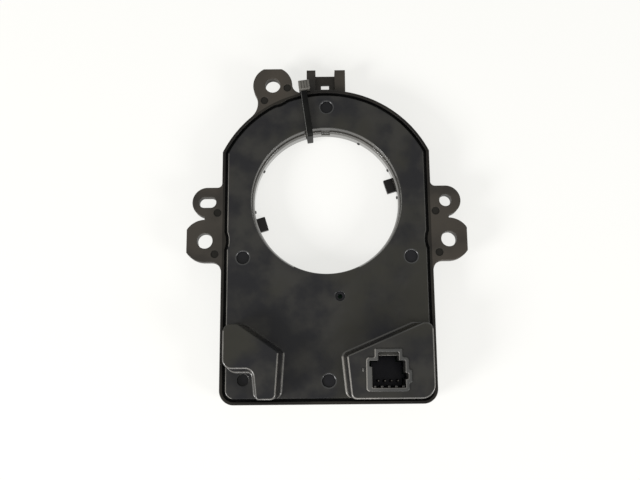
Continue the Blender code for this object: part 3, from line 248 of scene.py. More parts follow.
class Solid:
    """A closed shape in millimetres about the bore axis. Joining and cutting use up the others."""

    def __init__(self, work: bmesh.types.BMesh) -> None:
        """Takes over a bmesh, makes it one closed skin and frees it.

        Args:
            work: The bmesh, which is used up.
        """
        bmesh.ops.remove_doubles(work, verts=work.verts, dist=SAME_POINT)
        bmesh.ops.recalc_face_normals(work, faces=work.faces)
        mesh = bpy.data.meshes.new("shape")
        work.to_mesh(mesh)
        work.free()
        self.shape = bpy.data.objects.new("shape", mesh)
        bpy.context.scene.collection.objects.link(self.shape)

    @classmethod
    def stack(cls, rings: list[Ring]) -> Solid:
        """A solid that starts as the first outline's face and is extruded from ring to ring.

        Args:
            rings: Outlines with as many points each, and their heights.

        Returns:
            The closed solid.
        """
        work = bmesh.new()
        order = work.verts.layers.int.new("order")
        outline, height = rings[0]
        corners = [work.verts.new((x, y, height)) for x, y in outline]
        for i, corner in enumerate(corners):
            corner[order] = i
        face = work.faces.new(corners)
        for outline, height in rings[1:]:
            region = [face, *face.edges]
            made = bmesh.ops.extrude_face_region(work, geom=region)["geom"]
            face = next(item for item in made if isinstance(item, bmesh.types.BMFace))
            for corner in face.verts:
                corner.co = (*outline[corner[order]], height)
        return cls(work)

    @classmethod
    def prism(
        cls,
        outline: Outline,
        rear: float,
        front: float,
        round_front: float = 0.0,
        round_rear: float = 0.0,
    ) -> Solid:
        """A solid with the same outline all the way. A negative round flares an edge.

        Args:
            outline: The outline.
            rear: The height of its rear.
            front: The height of its front.
            round_front: The radius of the front edge.
            round_rear: The radius of the rear edge.

        Returns:
            The solid.
        """
        rings: list[Ring] = []
        for inset, drop in reversed(fillet(abs(round_rear))) if round_rear else [(0.0, 0.0)]:
            rings.append((grown(outline, -math.copysign(inset, round_rear)), rear + drop))
        if round_rear < 0:
            rings.insert(0, (rings[0][0], rear - OVERLAP))
        for inset, drop in fillet(abs(round_front)) if round_front else [(0.0, 0.0)]:
            rings.append((grown(outline, -math.copysign(inset, round_front)), front - drop))
        if round_front < 0:
            rings.append((rings[-1][0], front + OVERLAP))
        return cls.stack(rings)

    @classmethod
    def turned(cls, profile: list[Point], sides: int = BORE_SIDES, centre: Point = (0, 0)) -> Solid:
        """A solid spun about an axis along Z.

        Args:
            profile: Its closed profile as pairs of radius and height.
            sides: The number of steps of a full turn.
            centre: Where the axis stands.

        Returns:
            The solid.
        """
        work = bmesh.new()
        points = [work.verts.new((radius, 0.0, height)) for radius, height in profile]
        edges = [
            work.edges.new((point, points[i - 1]))
            for i, point in enumerate(points)
            if profile[i][0] or profile[i - 1][0]
        ]
        bmesh.ops.spin(
            work,
            geom=[*points, *edges],
            axis=(0, 0, 1),
            cent=(0, 0, 0),
            angle=math.tau,
            steps=sides,
            use_merge=True,
        )
        bmesh.ops.translate(work, vec=(*centre, 0), verts=work.verts)
        return cls(work)

    @classmethod
    def drill(
        cls,
        centre: Point,
        radius: float,
        rear: float,
        front: float,
        rim: float = 0.0,
        sides: int = HOLE_SIDES,
    ) -> Solid:
        """A round cutter that leaves a rounded rim.

        Args:
            centre: The middle of the hole.
            radius: Its radius.
            rear: The height of its floor.
            front: The height of the face that it is cut into.
            rim: The radius of the rounded rim.
            sides: The number of its sides.

        Returns:
            The cutter, a little taller than the face.
        """
        wall = [(radius + out, front - drop) for out, drop in fillet(rim)] if rim else []
        end = front + OVERLAP
        profile = [(0.0, rear), (radius, rear), *wall, (radius + rim, end), (0.0, end)]
        return cls.turned(profile, sides, centre)

    @classmethod
    def block(cls, centre: Vector, size: Vector, edge: float = 0.0, turn: float = 0.0) -> Solid:
        """A box with rounded edges.

        Args:
            centre: Its middle.
            size: Its size along each axis.
            edge: The radius of its edges.
            turn: The angle by which it is then turned about the bore axis, in degrees.

        Returns:
            The box.
        """
        work = bmesh.new()
        bmesh.ops.create_cube(work, size=1)
        bmesh.ops.scale(work, vec=size, verts=work.verts)
        if edge:
            bmesh.ops.bevel(
                work,
                geom=work.edges[:],
                offset=edge,
                offset_type="OFFSET",
                segments=BEVEL_STEPS,
                profile=0.5,
                affect="EDGES",
                clamp_overlap=True,
                material=-1,
            )
        bmesh.ops.translate(work, vec=centre, verts=work.verts)
        matrix = Matrix.Rotation(math.radians(turn), 3, "Z")
        bmesh.ops.rotate(work, cent=(0, 0, 0), matrix=matrix, verts=work.verts)
        return cls(work)

    def placed(self, matrix: Matrix) -> Solid:
        """Moves the shape's mesh by a matrix."""
        self.shape.data.transform(matrix)
        return self

    def _combine(self, operation: Operation, others: tuple[Solid, ...]) -> Solid:
        """Runs a Boolean with each of the others, then removes them.

        Args:
            operation: What the Boolean does.
            others: The other shapes.

        Returns:
            This shape.
        """
        for other in others:
            step = self.shape.modifiers.new("step", "BOOLEAN")
            step.operation, step.solver, step.object = operation.value, "EXACT", other.shape
        graph = bpy.context.evaluated_depsgraph_get()
        mesh = bpy.data.meshes.new_from_object(self.shape.evaluated_get(graph))
        self.shape.modifiers.clear()
        self.shape.data = mesh
        for other in others:
            bpy.data.objects.remove(other.shape)
        return self

    def join(self, *others: Solid) -> Solid:
        """Adds the others to this shape."""
        return self._combine(Operation.JOIN, others)

    def cut(self, *others: Solid) -> Solid:
        """Takes the others away from this shape."""
        return self._combine(Operation.CUT, others)

    def piece(self, name: str, body: str, slot: Slot, replaced: str) -> bpy.types.Object:
        """Turns the shape into a finished piece of the scene, in metres.

        Args:
            name: The piece's name.
            body: The CAD body that it rides on.
            slot: The material slot that it is dressed from later; not used here.
            replaced: The CAD node that it stands for.

        Returns:
            The piece, with its place in its mesh.
        """
        piece = self.shape
        mesh = piece.data
        work = bmesh.new()
        work.from_mesh(mesh)
        bmesh.ops.remove_doubles(work, verts=work.verts, dist=SAME_POINT)
        bmesh.ops.dissolve_degenerate(work, edges=work.edges, dist=SAME_POINT)
        work.to_mesh(mesh)
        work.free()
        mesh.transform(Matrix.Translation(BORE_AXIS) @ Matrix.Scale(MM, 4))
        piece.name = mesh.name = name
        mesh.shade_smooth()
        mesh.set_sharp_from_angle(angle=math.radians(SHARP_ANGLE))
        even = piece.modifiers.new("even_normals", "WEIGHTED_NORMAL")
        even.keep_sharp = True
        graph = bpy.context.evaluated_depsgraph_get()
        piece.data = bpy.data.meshes.new_from_object(piece.evaluated_get(graph))
        piece.modifiers.clear()
        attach(piece, body)
        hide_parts(replaced)
        return piece


def on_rounding(normal: Vector) -> bool:
    """Whether a normal leans as it does on a rounded front edge."""
    return EDGE_TILT[0] < normal.z < EDGE_TILT[1]


def near_any(point: Vector, places: list[Point], reach: float) -> bool:
    """Whether a point is within reach of one of the places, seen from the front."""
    return any(math.dist(point.xy, place) < reach for place in places)


def upright(origin: Point, turn: float) -> Matrix:
    """Stands a shape up, its own X along Y and its own Y up Z, and then turns it about Z.

    Args:
        origin: Where the shape then stands.
        turn: The angle of the turn, in degrees.

    Returns:
        The matrix that does both.
    """
    standing = Matrix(((0, 0, 1, 0), (1, 0, 0, 0), (0, 1, 0, 0), (0, 0, 0, 1)))
    where = Matrix.Translation((*origin, 0))
    return where @ Matrix.Rotation(math.radians(turn), 4, "Z") @ standing


def bearing(centre: Point, target: Point) -> float:
    """The direction from one point to another, in degrees from 0 to 360."""
    return math.degrees(math.atan2(target[1] - centre[1], target[0] - centre[0])) % FULL_TURN


def meeting_angle(radius: float, distance: float, other: float) -> float:
    """The angle at one circle's centre between a second centre and a point where they cross."""
    return math.degrees(math.acos((radius**2 + distance**2 - other**2) / (2 * radius * distance)))


@dataclass(frozen=True)
class Plan:
    """The sizes that the pieces share, in millimetres about the bore axis."""

    half_width: float = 37.3
    arc_radius: float = 41.45
    foot: float = 71.3
    corner: float = 5.0
    rim_top: float = 10.5
    cover_face: float = 10.2
    cover_under: float = 8.9
    pad_face: float = 18.4
    ear_rear: float = 7.0
    screw: Point = (43.2, -14.5)
    screw_lobe: float = 7.65
    screw_clearance: float = 8.5
    locator: Point = (42.45, -0.55)
    locator_lobe: float = 5.4
    top_reach: float = 47.543
    top_bearing: float = 113.95
    top_lobe: float = 7.2
    relief_step: float = 4.0

    @property
    def top_hole(self) -> Point:
        """The middle of the top ear's hole."""
        angle = math.radians(self.top_bearing)
        return (self.top_reach * math.cos(angle), self.top_reach * math.sin(angle))

    def case(self, inset: float, clearance: float = 0.0) -> Outline:
        """The case's D outline, with a concave relief round each screw hole.

        Args:
            inset: How far it is moved in.
            clearance: The radius that is kept clear round the screw holes.

        Returns:
            The outline.
        """
        half, radius = self.half_width - inset, self.arc_radius - inset
        foot, corner = self.foot - inset, max(self.corner - inset, SMALLEST_FILLET)
        start = math.degrees(math.acos(half / radius))
        points = arc((half - corner, corner - foot), corner, -QUARTER, 0, FILLET_STEP)
        relief = self._side_relief(half, clearance)
        points += relief
        if clearance and self.top_reach - clearance < radius:
            half_angle = meeting_angle(radius, self.top_reach, clearance)
            swing = meeting_angle(clearance, self.top_reach, radius)
            behind = self.top_bearing + HALF_TURN
            points += arc(BORE, radius, start, self.top_bearing - half_angle)
            points += arc(self.top_hole, clearance, behind + swing, behind - swing)
            points += arc(BORE, radius, self.top_bearing + half_angle, HALF_TURN - start)
        else:
            points += arc(BORE, radius, start, HALF_TURN - start)
        points += mirrored(relief)
        left = arc((corner - half, corner - foot), corner, HALF_TURN, THREE_QUARTERS, FILLET_STEP)
        return distinct(points + left)

    def _side_relief(self, half: float, clearance: float) -> Outline:
        """The concave relief in the right side, or nothing where the side stays clear.

        Args:
            half: How far out the side stands.
            clearance: The relief's radius.

        Returns:
            The relief's points from the foot up.
        """
        reach = self.screw[0] - half
        if clearance <= reach:
            return []
        swing = math.degrees(math.acos(reach / clearance))
        return arc(self.screw, clearance, HALF_TURN + swing, HALF_TURN - swing, self.relief_step)


PLAN = Plan()


@dataclass(frozen=True)
class Pad:
    """A raised pad's face, how far each side leans out, and which sides stand on the cover."""

    corners: tuple[Corner, ...]
    drafts: tuple[float, ...]
    standing: tuple[int, ...]
    rise: float = 8.2
    edge: float = 0.45
    foot_round: float = 0.6
    wall: float = 1.4

    def body(self) -> Solid:
        """The pad's outside, with a rounded foot and a rounded edge round its face.

        Returns:
            The solid.
        """
        rings = [self._ring(self.rise + OVERLAP, 1, 0, self.foot_round)]
        for outwards, up in reversed(fillet(self.foot_round)):
            rings.append(self._ring(self.rise - up, 1 - up / self.rise, 0, outwards))
        for inset, drop in fillet(self.edge):
            rings.append(self._ring(drop, drop / self.rise, inset))
        return Solid.stack(rings)

    def hollow(self) -> Solid:
        """The room under the pad."""
        depth = PLAN.pad_face - PLAN.cover_under + OVERLAP
        return Solid.stack([self._ring(depth, 1, self.wall), self._ring(self.wall, 0, self.wall)])

    def _ring(self, drop: float, share: float, inset: float, flare: float = 0.0) -> Ring:
        """One level of the pad.

        Args:
            drop: How far it lies below the face.
            share: The share of the draft that it has.
            inset: How far all its sides move in.
            flare: How far the sides that stand on the cover move out.

        Returns:
            The level's outline and height.
        """
        shifts = [
            draft * share - inset + flare * stands
            for draft, stands in zip(self.drafts, self.standing)
        ]
        return rounded(drafted(self.corners, shifts)), PLAN.pad_face - drop


LEFT_PAD = Pad(
    corners=(
        Corner(-16.6, -53.9, 0.7),
        Corner(-30.4, -44.25, 1.2),
        Corner(-35.3, -44.25, 2.8),
        Corner(-35.3, -59.15, 3.2),
        Corner(-25.1, -59.15, 2.8),
        Corner(-24.0, -69.3, 1.2),
        Corner(-17.65, -69.3, 1.8),
    ),
    drafts=(1.1, -0.05, -0.05, 0.88, 0.88, -0.05, 1.1),
    standing=(1, 1, 0, 1, 1, 0, 1),
)
RIGHT_PAD = Pad(
    corners=(
        Corner(7.65, -69.3, 1.8),
        Corner(35.3, -69.3, 4.6),
        Corner(35.3, -44.25, 2.6),
        Corner(32.1, -44.25, 1.2),
        Corner(6.25, -55.15, 0.8),
    ),
    drafts=(-0.05, -0.05, -0.05, 1.1, 1.1),
    standing=(0, 0, 1, 1, 1),
)


@dataclass(frozen=True)
class Socket:
    """The connector's socket in the right pad."""

    centre: Point = (19.95, -61.3)
    width: float = 11.0
    height: float = 8.8
    latch_width: float = 6.8
    latch_height: float = 2.8
    key_depth: float = 0.9
    key_height: float = 1.85
    key_above: float = 0.3
    lip: float = 1.25
    lip_raised: float = 0.4
    lip_left: float = 0.8
    lip_edge: float = 0.4
    cavity_edge: float = 0.3
    outer_bend: float = 1.2
    outer_corner: float = 0.42
    inner_corner: float = 0.35
    shroud_rear: float = 8.05
    cavity_rear: float = 6.75
    bar: float = 1.1
    bar_depth: float = 1.6
    guides: int = 5
    guide_pitch: float = 2.35
    guide_size: float = 0.7
    soft_edge: float = 0.15
    nib: Point = (11.5, -59.8)
    nib_size: Triple = (0.5, 1.2, 0.7)

    @property
    def front(self) -> float:
        """The height of the lip's face."""
        return PLAN.pad_face + self.lip_raised

    def shroud(self) -> Solid:
        """The wall round the cavity, with a rounded lip."""
        outline = self._outline(self.lip, self.outer_corner)
        return Solid.prism(outline, self.shroud_rear, self.front, self.lip_edge)

    def cavity(self) -> Solid:
        """The room that the plug enters, flared at the lip."""
        outline = self._outline(0.0, self.inner_corner)
        return Solid.prism(outline, self.cavity_rear, self.front, -self.cavity_edge)

    def fittings(self) -> list[Solid]:
        """The bar across the latch recess and the guides along the cavity's foot.

        Returns:
            The bar, the guides and the nib beside the socket.
        """
        x, y = self.centre
        top = y + self.height / 2 + self.latch_height
        middle = Vector((x, top - (self.bar - OVERLAP) / 2, PLAN.pad_face - self.bar_depth))
        size = Vector((self.latch_width + OVERLAP, self.bar + OVERLAP, self.bar_depth))
        made = [Solid.block(middle, size, self.soft_edge)]
        foot, rear = y - self.height / 2, PLAN.cover_face
        tall = PLAN.pad_face - rear
        for i in range(self.guides):
            shift = (i - (self.guides - 1) / 2) * self.guide_pitch
            centre = Vector((x + shift, foot + (self.guide_size - OVERLAP) / 2, rear + tall / 2))
            size = Vector((self.guide_size, self.guide_size + OVERLAP, tall))
            made.append(Solid.block(centre, size, self.soft_edge))
        nib = Solid.block(Vector((*self.nib, PLAN.pad_face)), Vector(self.nib_size), self.soft_edge)
        return [*made, nib]

    def _outline(self, grow: float, corner: float) -> Outline:
        """The cavity's outline with its latch recess and side keys, or the wall's round it.

        Args:
            grow: The wall's thickness, or nothing for the cavity.
            corner: The corners' radius.

        Returns:
            The outline.
        """
        x, y = self.centre
        extra = self.lip_left if grow else 0.0
        left, right = x - self.width / 2 - grow - extra, x + self.width / 2 + grow
        foot, top = y - self.height / 2 - grow, y + self.height / 2 + grow
        latch_left, latch_right = x - self.latch_width / 2 - grow, x + self.latch_width / 2 + grow
        latch_top = top + self.latch_height
        key_top = y + self.key_above + grow
        key_foot = key_top - self.key_height - 2 * grow
        points = [
            (left, foot),
            (right, foot),
            (right, key_foot),
            (right + self.key_depth, key_foot),
            (right + self.key_depth, key_top),
            (right, key_top),
            (right, top),
            (latch_right, top),
            (latch_right, latch_top),
            (latch_left, latch_top),
            (latch_left, top),
        ]
        if grow:
            points.append((left, top))
        else:
            key_left, key_rear = left - self.key_depth, top - self.key_height
            points += [(key_left, top), (key_left, key_rear), (left, key_rear)]
        bend = self.outer_bend if grow else corner
        ends = [(side, level) for side in (left, right) for level in (foot, top)]
        return rounded([Corner(*p, bend if p in ends else corner) for p in points])


@dataclass(frozen=True)
class Cover:
    """The front cover with its two pads, the socket and the moulded holes."""

    inset: float = 2.0
    edge: float = 0.35
    bore: float = 26.85
    bore_edge: float = 0.2
    shelf_width: float = 0.25
    shelf_angles: Pair = (244.0, 295.0)
    edge_foot: float = -67.5
    lip_foot: float = -62.0
    ring_radius: float = 27.9
    ring_rear: float = 7.2
    recess_radius: float = 2.05
    recess_depth: float = 0.7
    recess_rim: float = 0.65
    recesses: tuple[Point, ...] = ((0.4, 34.9), (-29.7, -20.6), (29.7, -20.6), (0.2, -63.4))
    sight_hole: Point = (4.4, -34.5)
    sight_radius: float = 1.7
    sight_bore: float = 0.8
    peg_hole: Point = (-29.2, -62.9)
    peg_radius: float = 2.0
    peg_depth: float = 1.0
    small_rim: float = 0.15
    ribs: tuple[Point, ...] = ((-31.23, -23.4), (31.23, -23.4), (-31.23, -64.8), (0.0, -64.8))
    rib_size: Triple = (2.0, 2.4, 1.35)

    def build(self) -> bpy.types.Object:
        """Builds the cover as one piece in place of its CAD node.

        Returns:
            The piece.
        """
        socket = Socket()
        outline = PLAN.case(self.inset, PLAN.screw_clearance)
        cover = Solid.prism(outline, PLAN.cover_under, PLAN.cover_face, self.edge)
        cover.join(LEFT_PAD.body(), RIGHT_PAD.body()).cut(LEFT_PAD.hollow(), RIGHT_PAD.hollow())
        cover.join(socket.shroud()).cut(socket.cavity())
        ring = circle(BORE, self.ring_radius, BORE_SIDES)
        cover.join(Solid.prism(ring, self.ring_rear, PLAN.cover_under + OVERLAP))
        cover.join(*socket.fittings(), *self._ribs()).cut(*self._holes())
        return cover.piece("cover_moulding", "housing", Slot.COVER, "front_cover")

    def dress(self, piece: bpy.types.Object, wardrobe: Wardrobe) -> None:
        """Puts the cover's finishes on.

        Args:
            piece: The cover.
            wardrobe: The finishes.
        """
        # Rounded edges that face the lamps get a painted highlight, the other rounded edges a
        # dimmer one, and the bore wall a painted sheen on top of its gloss.
        parts = {
            "_soft_edge": self.on_soft_edge,
            "_edge": self.on_edge,
            "_ring": self.on_ring,
            "_recess": self.in_recess,
            "_lip": self.on_lip,
            "_bore": self.in_bore,
        }
        wardrobe.dress(piece, Slot.COVER, parts)

    def on_edge(self, point: Vector, normal: Vector) -> bool:
        """Whether a point of the surface is on a rounded edge with a painted highlight, mostly one
        that faces the lamps.

        Args:
            point: A face's middle, in millimetres about the bore axis.
            normal: The face's normal.

        Returns:
            Whether the face is there.
        """
        if point.z < PLAN.cover_under or not on_rounding(normal):
            return False
        side = normal.xy.normalized()
        if point.z < PLAN.pad_face:
            on_pad = point.z > PLAN.cover_face
            return side.y < EDGE_LIGHT and (on_pad or side.x < -EDGE_LIGHT)
        return side.x < -EDGE_LIGHT or (side.y > EDGE_LIGHT and point.y < self.lip_foot)

    def on_soft_edge(self, point: Vector, normal: Vector) -> bool:
        """Whether a point of the surface is on another rounded edge of the cover or its lip, with a
        dimmer painted highlight.

        Args:
            point: A face's middle, in millimetres about the bore axis.
            normal: The face's normal.

        Returns:
            Whether the face is there.
        """
        if point.z < PLAN.cover_under or not on_rounding(normal):
            return False
        level = normal.xy.normalized().y
        if PLAN.cover_face < point.z < PLAN.pad_face:
            return point.x > 0 and level > EDGE_LIGHT
        beside = point.y > self.edge_foot or level > -EDGE_LIGHT
        return point.z > PLAN.pad_face or (beside and level < EDGE_LIGHT)

    def in_bore(self, point: Vector, normal: Vector) -> bool:
        """Whether a point of the surface is on the wall of the bore or its rounded edge, which are
        glossy and painted lighter as a sheen.
        """
        return normal.z < EDGE_TILT[1] and point.xy.length < self.bore + self.bore_edge

    def in_recess(self, point: Vector, _normal: Vector) -> bool:
        """Whether a point of the surface is on the floor of a round recess or in a small hole.

        Args:
            point: A face's middle, in millimetres about the bore axis.
            _normal: The face's normal, which doesn't matter here.

        Returns:
            Whether the face is there.
        """
        marks = [*self.recesses, self.sight_hole, self.peg_hole]
        low = PLAN.cover_under < point.z <= PLAN.cover_face - self.small_rim
        return low and near_any(point, marks, self.recess_radius + self.small_rim)

    def on_ring(self, point: Vector, normal: Vector) -> bool:
        """Whether a point of the surface is on the rounded rim of a recess or the sight hole.

        Args:
            point: A face's middle, in millimetres about the bore axis.
            normal: The face's normal.

        Returns:
            Whether the face is there.
        """
        marks = [*self.recesses, self.sight_hole]
        low = PLAN.cover_under < point.z < PLAN.cover_face and normal.z <= EDGE_TILT[1]
        return low and near_any(point, marks, self.recess_radius + self.recess_rim)

    def on_lip(self, point: Vector, normal: Vector) -> bool:
        """Whether a point of the surface is on the face of the socket's lip."""
        return point.z > PLAN.pad_face + self.small_rim and normal.z > EDGE_TILT[1]

    def _ribs(self) -> list[Solid]:
        """Short ribs under the cover that hold the board down."""
        rear = PLAN.cover_under + OVERLAP - self.rib_size[2] / 2
        return [Solid.block(Vector((x, y, rear)), Vector(self.rib_size)) for x, y in self.ribs]

    def _bore_outline(self) -> Outline:
        """The bore, with a shallow shelf along the side towards the pads.

        Returns:
            The outline.
        """
        first, last = self.shelf_angles
        step = FULL_TURN / BORE_SIDES
        shelf = arc(BORE, self.bore - self.shelf_width, first, last, step)
        return shelf + arc(BORE, self.bore, last, first + FULL_TURN, step)

    def _holes(self) -> list[Solid]:
        """Cutters for the bore, the round recesses, the sight hole and the peg hole.

        Returns:
            The cutters.
        """
        face, floor = PLAN.cover_face, PLAN.cover_face - self.recess_depth
        edge, rim, rear = -self.bore_edge, self.small_rim, PLAN.cover_under - OVERLAP
        radius, wide = self.recess_radius, self.recess_rim
        return [
            Solid.prism(self._bore_outline(), self.ring_rear, face, edge, edge),
            *[Solid.drill(place, radius, floor, face, wide) for place in self.recesses],
            Solid.drill(self.sight_hole, self.sight_radius, floor, face, rim),
            Solid.drill(self.sight_hole, self.sight_bore, rear, floor, rim),
            Solid.drill(self.peg_hole, self.peg_radius, face - self.peg_depth, face, rim),
        ]


@dataclass(frozen=True)
class Case:
    """The rear case: its rim, ears, harness rail and the inside that carries the gears."""

    floor: float = 1.6
    ledge_wall: float = 2.7
    ledge_top: float = 8.6
    rim_wall: float = 1.1
    edge: float = 0.3
    rim_edge: float = 0.2
    rim_shoulder: float = 15.0
    ear_root: float = 0.85
    bore: float = 27.4
    bore_cut: float = 4.8
    collar: float = 29.2
    collar_top: float = 3.3
    gear_places: tuple[Point, ...] = ((-15.4098, -40.1440), (15.7682, -41.0775))
    boss_radius: float = 3.7
    seat_radius: float = 2.3
    seat_rear: float = 1.2
    rest_front: float = 6.45
    rest_size: float = 4.0
    rests: tuple[Point, ...] = ((32.2, -24.0), (32.2, -65.4))
    screw_radius: float = 2.75
    locator_radius: float = 2.15
    hole_rim: float = 0.25
    slot_reach: float = 1.15
    slot_end: float = 1.95
    lobe_cut: float = 1.2
    notch_angles: Pair = (88.0, -80.0)
    top_cut: float = 0.8
    ear_fillets: Pair = (1.6, 3.6)
    top_fillets: Pair = (3.2, 7.0)
    dimple_radius: float = 1.4
    dimple_depth: float = 0.3
    dimple_rim: float = 0.1
    locator_dimple: Point = (3.65, 3.85)
    screw_dimple: Point = (3.6, 4.8)
    top_dimples: tuple[Point, ...] = ((-3.0, -5.85), (5.4, -1.05))
    rail_heights: Pair = (1.0, 7.3)
    rail_inner: float = 3.55
    rail_outer: float = 6.85
    rail_right_extra: float = 0.65
    rail_top: float = 50.6
    rail_root: float = 1.5
    rail_groove: float = 1.0
    rail_groove_width: float = 1.5
    bridge_heights: Pair = (2.8, 4.0)
    bridge_top: float = 49.5
    window: Triple = (1.5, 44.25, 46.05)
    groove: Triple = (-3.0, 18.0, 1.5)
    groove_half: float = 1.4
    groove_wall: float = 1.5

    def build(self) -> bpy.types.Object:
        """Builds the case as one piece in place of its CAD node.

        Returns:
            The piece.
        """
        case = Solid.prism(PLAN.case(0), 0, PLAN.rim_top, self.edge, self.edge)
        pocket = Solid.prism(PLAN.case(self.ledge_wall), self.floor, PLAN.rim_top + OVERLAP)
        clearance = PLAN.screw_clearance - (Cover.inset - self.rim_wall)
        inside = PLAN.case(self.rim_wall, clearance)
        rim = Solid.prism(inside, self.ledge_top, PLAN.rim_top, -self.rim_edge)
        case.cut(pocket, rim).join(*self._ears(), *self._rail(), *self._inside())
        case.cut(*self._holes(), *self._dimples(), self._rail_groove(), self._tie_groove())
        return case.piece("case_moulding", "housing", Slot.CASE, "rear_case")

    def dress(self, piece: bpy.types.Object, wardrobe: Wardrobe) -> None:
        """Puts the case's finishes on."""
        # The gap is painted near black as shade.
        parts = {"_rim": self.on_rim, "_gap": self.in_gap, "_mark": self.in_dimple}
        wardrobe.dress(piece, Slot.CASE, parts)

    def _ears(self) -> list[Solid]:
        """The right pair of lobes, its mirror image and the top lobe.

        Returns:
            The three solids.
        """
        outlines = [self._side_ear(), mirrored(self._side_ear()), distinct(self._top_ear())]
        edge = self.edge
        return [Solid.prism(o, PLAN.ear_rear, PLAN.rim_top, edge, edge) for o in outlines]

    def _side_ear(self) -> Outline:
        """A locating lobe above a screw lobe, with a notch between them.

        Returns:
            The outline of the right pair.
        """
        side, inner = PLAN.half_width, PLAN.half_width - self.ear_root
        screw, locator = PLAN.screw, PLAN.locator
        top, foot = locator[1] + PLAN.locator_lobe, screw[1] - PLAN.screw_lobe
        upper, lower = self.ear_fillets
        flat = math.degrees(math.acos(1 - self.lobe_cut / PLAN.screw_lobe))
        points = [(inner, foot - lower)]
        points += arc((side + lower, foot - lower), lower, HALF_TURN, QUARTER, FILLET_STEP)
        points += arc(screw, PLAN.screw_lobe, -QUARTER, -flat)
        points += arc(screw, PLAN.screw_lobe, flat, self.notch_angles[0])
        points += arc(locator, PLAN.locator_lobe, self.notch_angles[1], QUARTER)
        points += arc((side + upper, top + upper), upper, THREE_QUARTERS, HALF_TURN, SLOT_STEP)
        return [*points, (inner, top + upper)]

    def _top_ear(self) -> Outline:
        """The upper left lobe, with a flat top, blended into the case's arc on both sides.

        Returns:
            The outline.
        """
        hole = PLAN.top_hole
        flat = math.degrees(math.asin(1 - self.top_cut / PLAN.top_lobe))
        right, left = self.top_fillets
        right_centre, left_centre = self._neck(right, -1), self._neck(left, 1)
        right_case, right_lobe = bearing(right_centre, BORE), bearing(right_centre, hole)
        left_case, left_lobe = bearing(left_centre, BORE), bearing(left_centre, hole)
        lobe_side = left_lobe if left_lobe > HALF_TURN else left_lobe + FULL_TURN
        inner = PLAN.arc_radius - self.ear_root
        points = arc(BORE, inner, left_case - HALF_TURN, right_case - HALF_TURN)
        points += arc(right_centre, right, right_case, right_lobe, FILLET_STEP)
        points += arc(hole, PLAN.top_lobe, right_lobe - HALF_TURN, flat)
        points += arc(hole, PLAN.top_lobe, HALF_TURN - flat, (left_lobe + HALF_TURN) % FULL_TURN)
        return points + arc(left_centre, left, lobe_side, left_case, FILLET_STEP)

    @staticmethod
    def _neck(radius: float, side: int) -> Point:
        """The centre of a fillet between the top ear's lobe and the case's arc.

        Args:
            radius: The fillet's radius.
            side: 1 to the left of the ear, -1 to its right.

        Returns:
            The centre.
        """
        reach = PLAN.arc_radius + radius
        swing = meeting_angle(reach, PLAN.top_reach, PLAN.top_lobe + radius)
        angle = math.radians(PLAN.top_bearing + side * swing)
        return (reach * math.cos(angle), reach * math.sin(angle))

    def _rail(self) -> list[Solid]:
        """Two posts for a harness clip and the bridge between them, with its window.

        Returns:
            The posts and the bridge.
        """
        foot, edge = PLAN.arc_radius - self.rail_root, self.rim_edge
        right_side = self.rail_outer + self.rail_right_extra
        left = rectangle(-self.rail_outer, -self.rail_inner, foot, self.rail_top)
        right = rectangle(self.rail_inner, right_side, foot, self.rail_top)
        across = self.rail_inner + OVERLAP
        span = rectangle(-across, across, foot, self.bridge_top)
        bridge = Solid.prism(span, *self.bridge_heights, edge, edge)
        half, low, high = self.window
        bridge.cut(Solid.prism(rectangle(-half, half, low, high), 0, PLAN.rim_top))
        posts = [Solid.prism(outline, *self.rail_heights, edge, edge) for outline in (left, right)]
        return [*posts, bridge]

    def _rail_groove(self) -> Solid:
        """The facing grooves in the two posts.

        Returns:
            The cutter for both.
        """
        low, high = PLAN.arc_radius + self.rail_groove, self.rail_top + OVERLAP
        middle = (self.bridge_heights[1] + self.rail_heights[1]) / 2
        width = 2 * (self.rail_inner + self.rail_groove)
        size = Vector((width, high - low, self.rail_groove_width))
        return Solid.block(Vector((0, (low + high) / 2, middle)), size)

    def _inside(self) -> list[Solid]:
        """The collar, the gear bosses, the board's rests and the back of the tie's groove.

        Returns:
            The solids.
        """
        middle = self.floor / 2
        made = [Solid.prism(circle(BORE, self.collar, BORE_SIDES), middle, self.collar_top)]
        for place in self.gear_places:
            made.append(Solid.prism(circle(place, self.boss_radius), middle, self.collar_top))
        wall, tall = PLAN.half_width - self.ledge_wall + OVERLAP, self.rest_front - middle
        height = middle + tall / 2
        for x, y in self.rests:
            reach = wall - x + self.rest_size / 2
            for side in (-1, 1):
                centre = Vector((side * (wall - reach / 2), y, height))
                made.append(Solid.block(centre, Vector((reach, self.rest_size, tall))))
        foot, top = self.ledge_wall - PLAN.foot - OVERLAP, self.rests[1][1] + self.rest_size / 2
        centre = Vector((0, (foot + top) / 2, height))
        made.append(Solid.block(centre, Vector((self.rest_size, top - foot, tall))))
        back = rectangle(0, TIE.reach, middle, self.collar_top - 2 * GAP)
        half = self.groove_half + self.groove_wall
        return [*made, Solid.prism(back, -half, half).placed(TIE.matrix)]

    def _holes(self) -> list[Solid]:
        """Cutters for the bore, the gears' seats and the holes in the ears.

        Returns:
            The cutters.
        """
        rear, front, rim = PLAN.ear_rear, PLAN.rim_top, self.hole_rim
        screw, locator = PLAN.screw, PLAN.locator
        made = [
            Solid.prism(circle(BORE, self.bore, BORE_SIDES), 0, self.bore_cut, 0, -rim),
            *[Solid.drill(p, self.seat_radius, self.seat_rear, front) for p in self.gear_places],
        ]
        for place in (screw, (-screw[0], screw[1]), PLAN.top_hole):
            made.append(Solid.prism(circle(place, self.screw_radius), rear, front, -rim, -rim))
        made.append(Solid.prism(circle(locator, self.locator_radius), rear, front, -rim, -rim))
        slot = []
        for side, start in ((self.slot_reach, -QUARTER), (-self.slot_reach, QUARTER)):
            middle = (side - locator[0], locator[1])
            slot += arc(middle, self.slot_end, start, start + HALF_TURN, SLOT_STEP)
        return [*made, Solid.prism(slot, rear, front, -rim, -rim)]

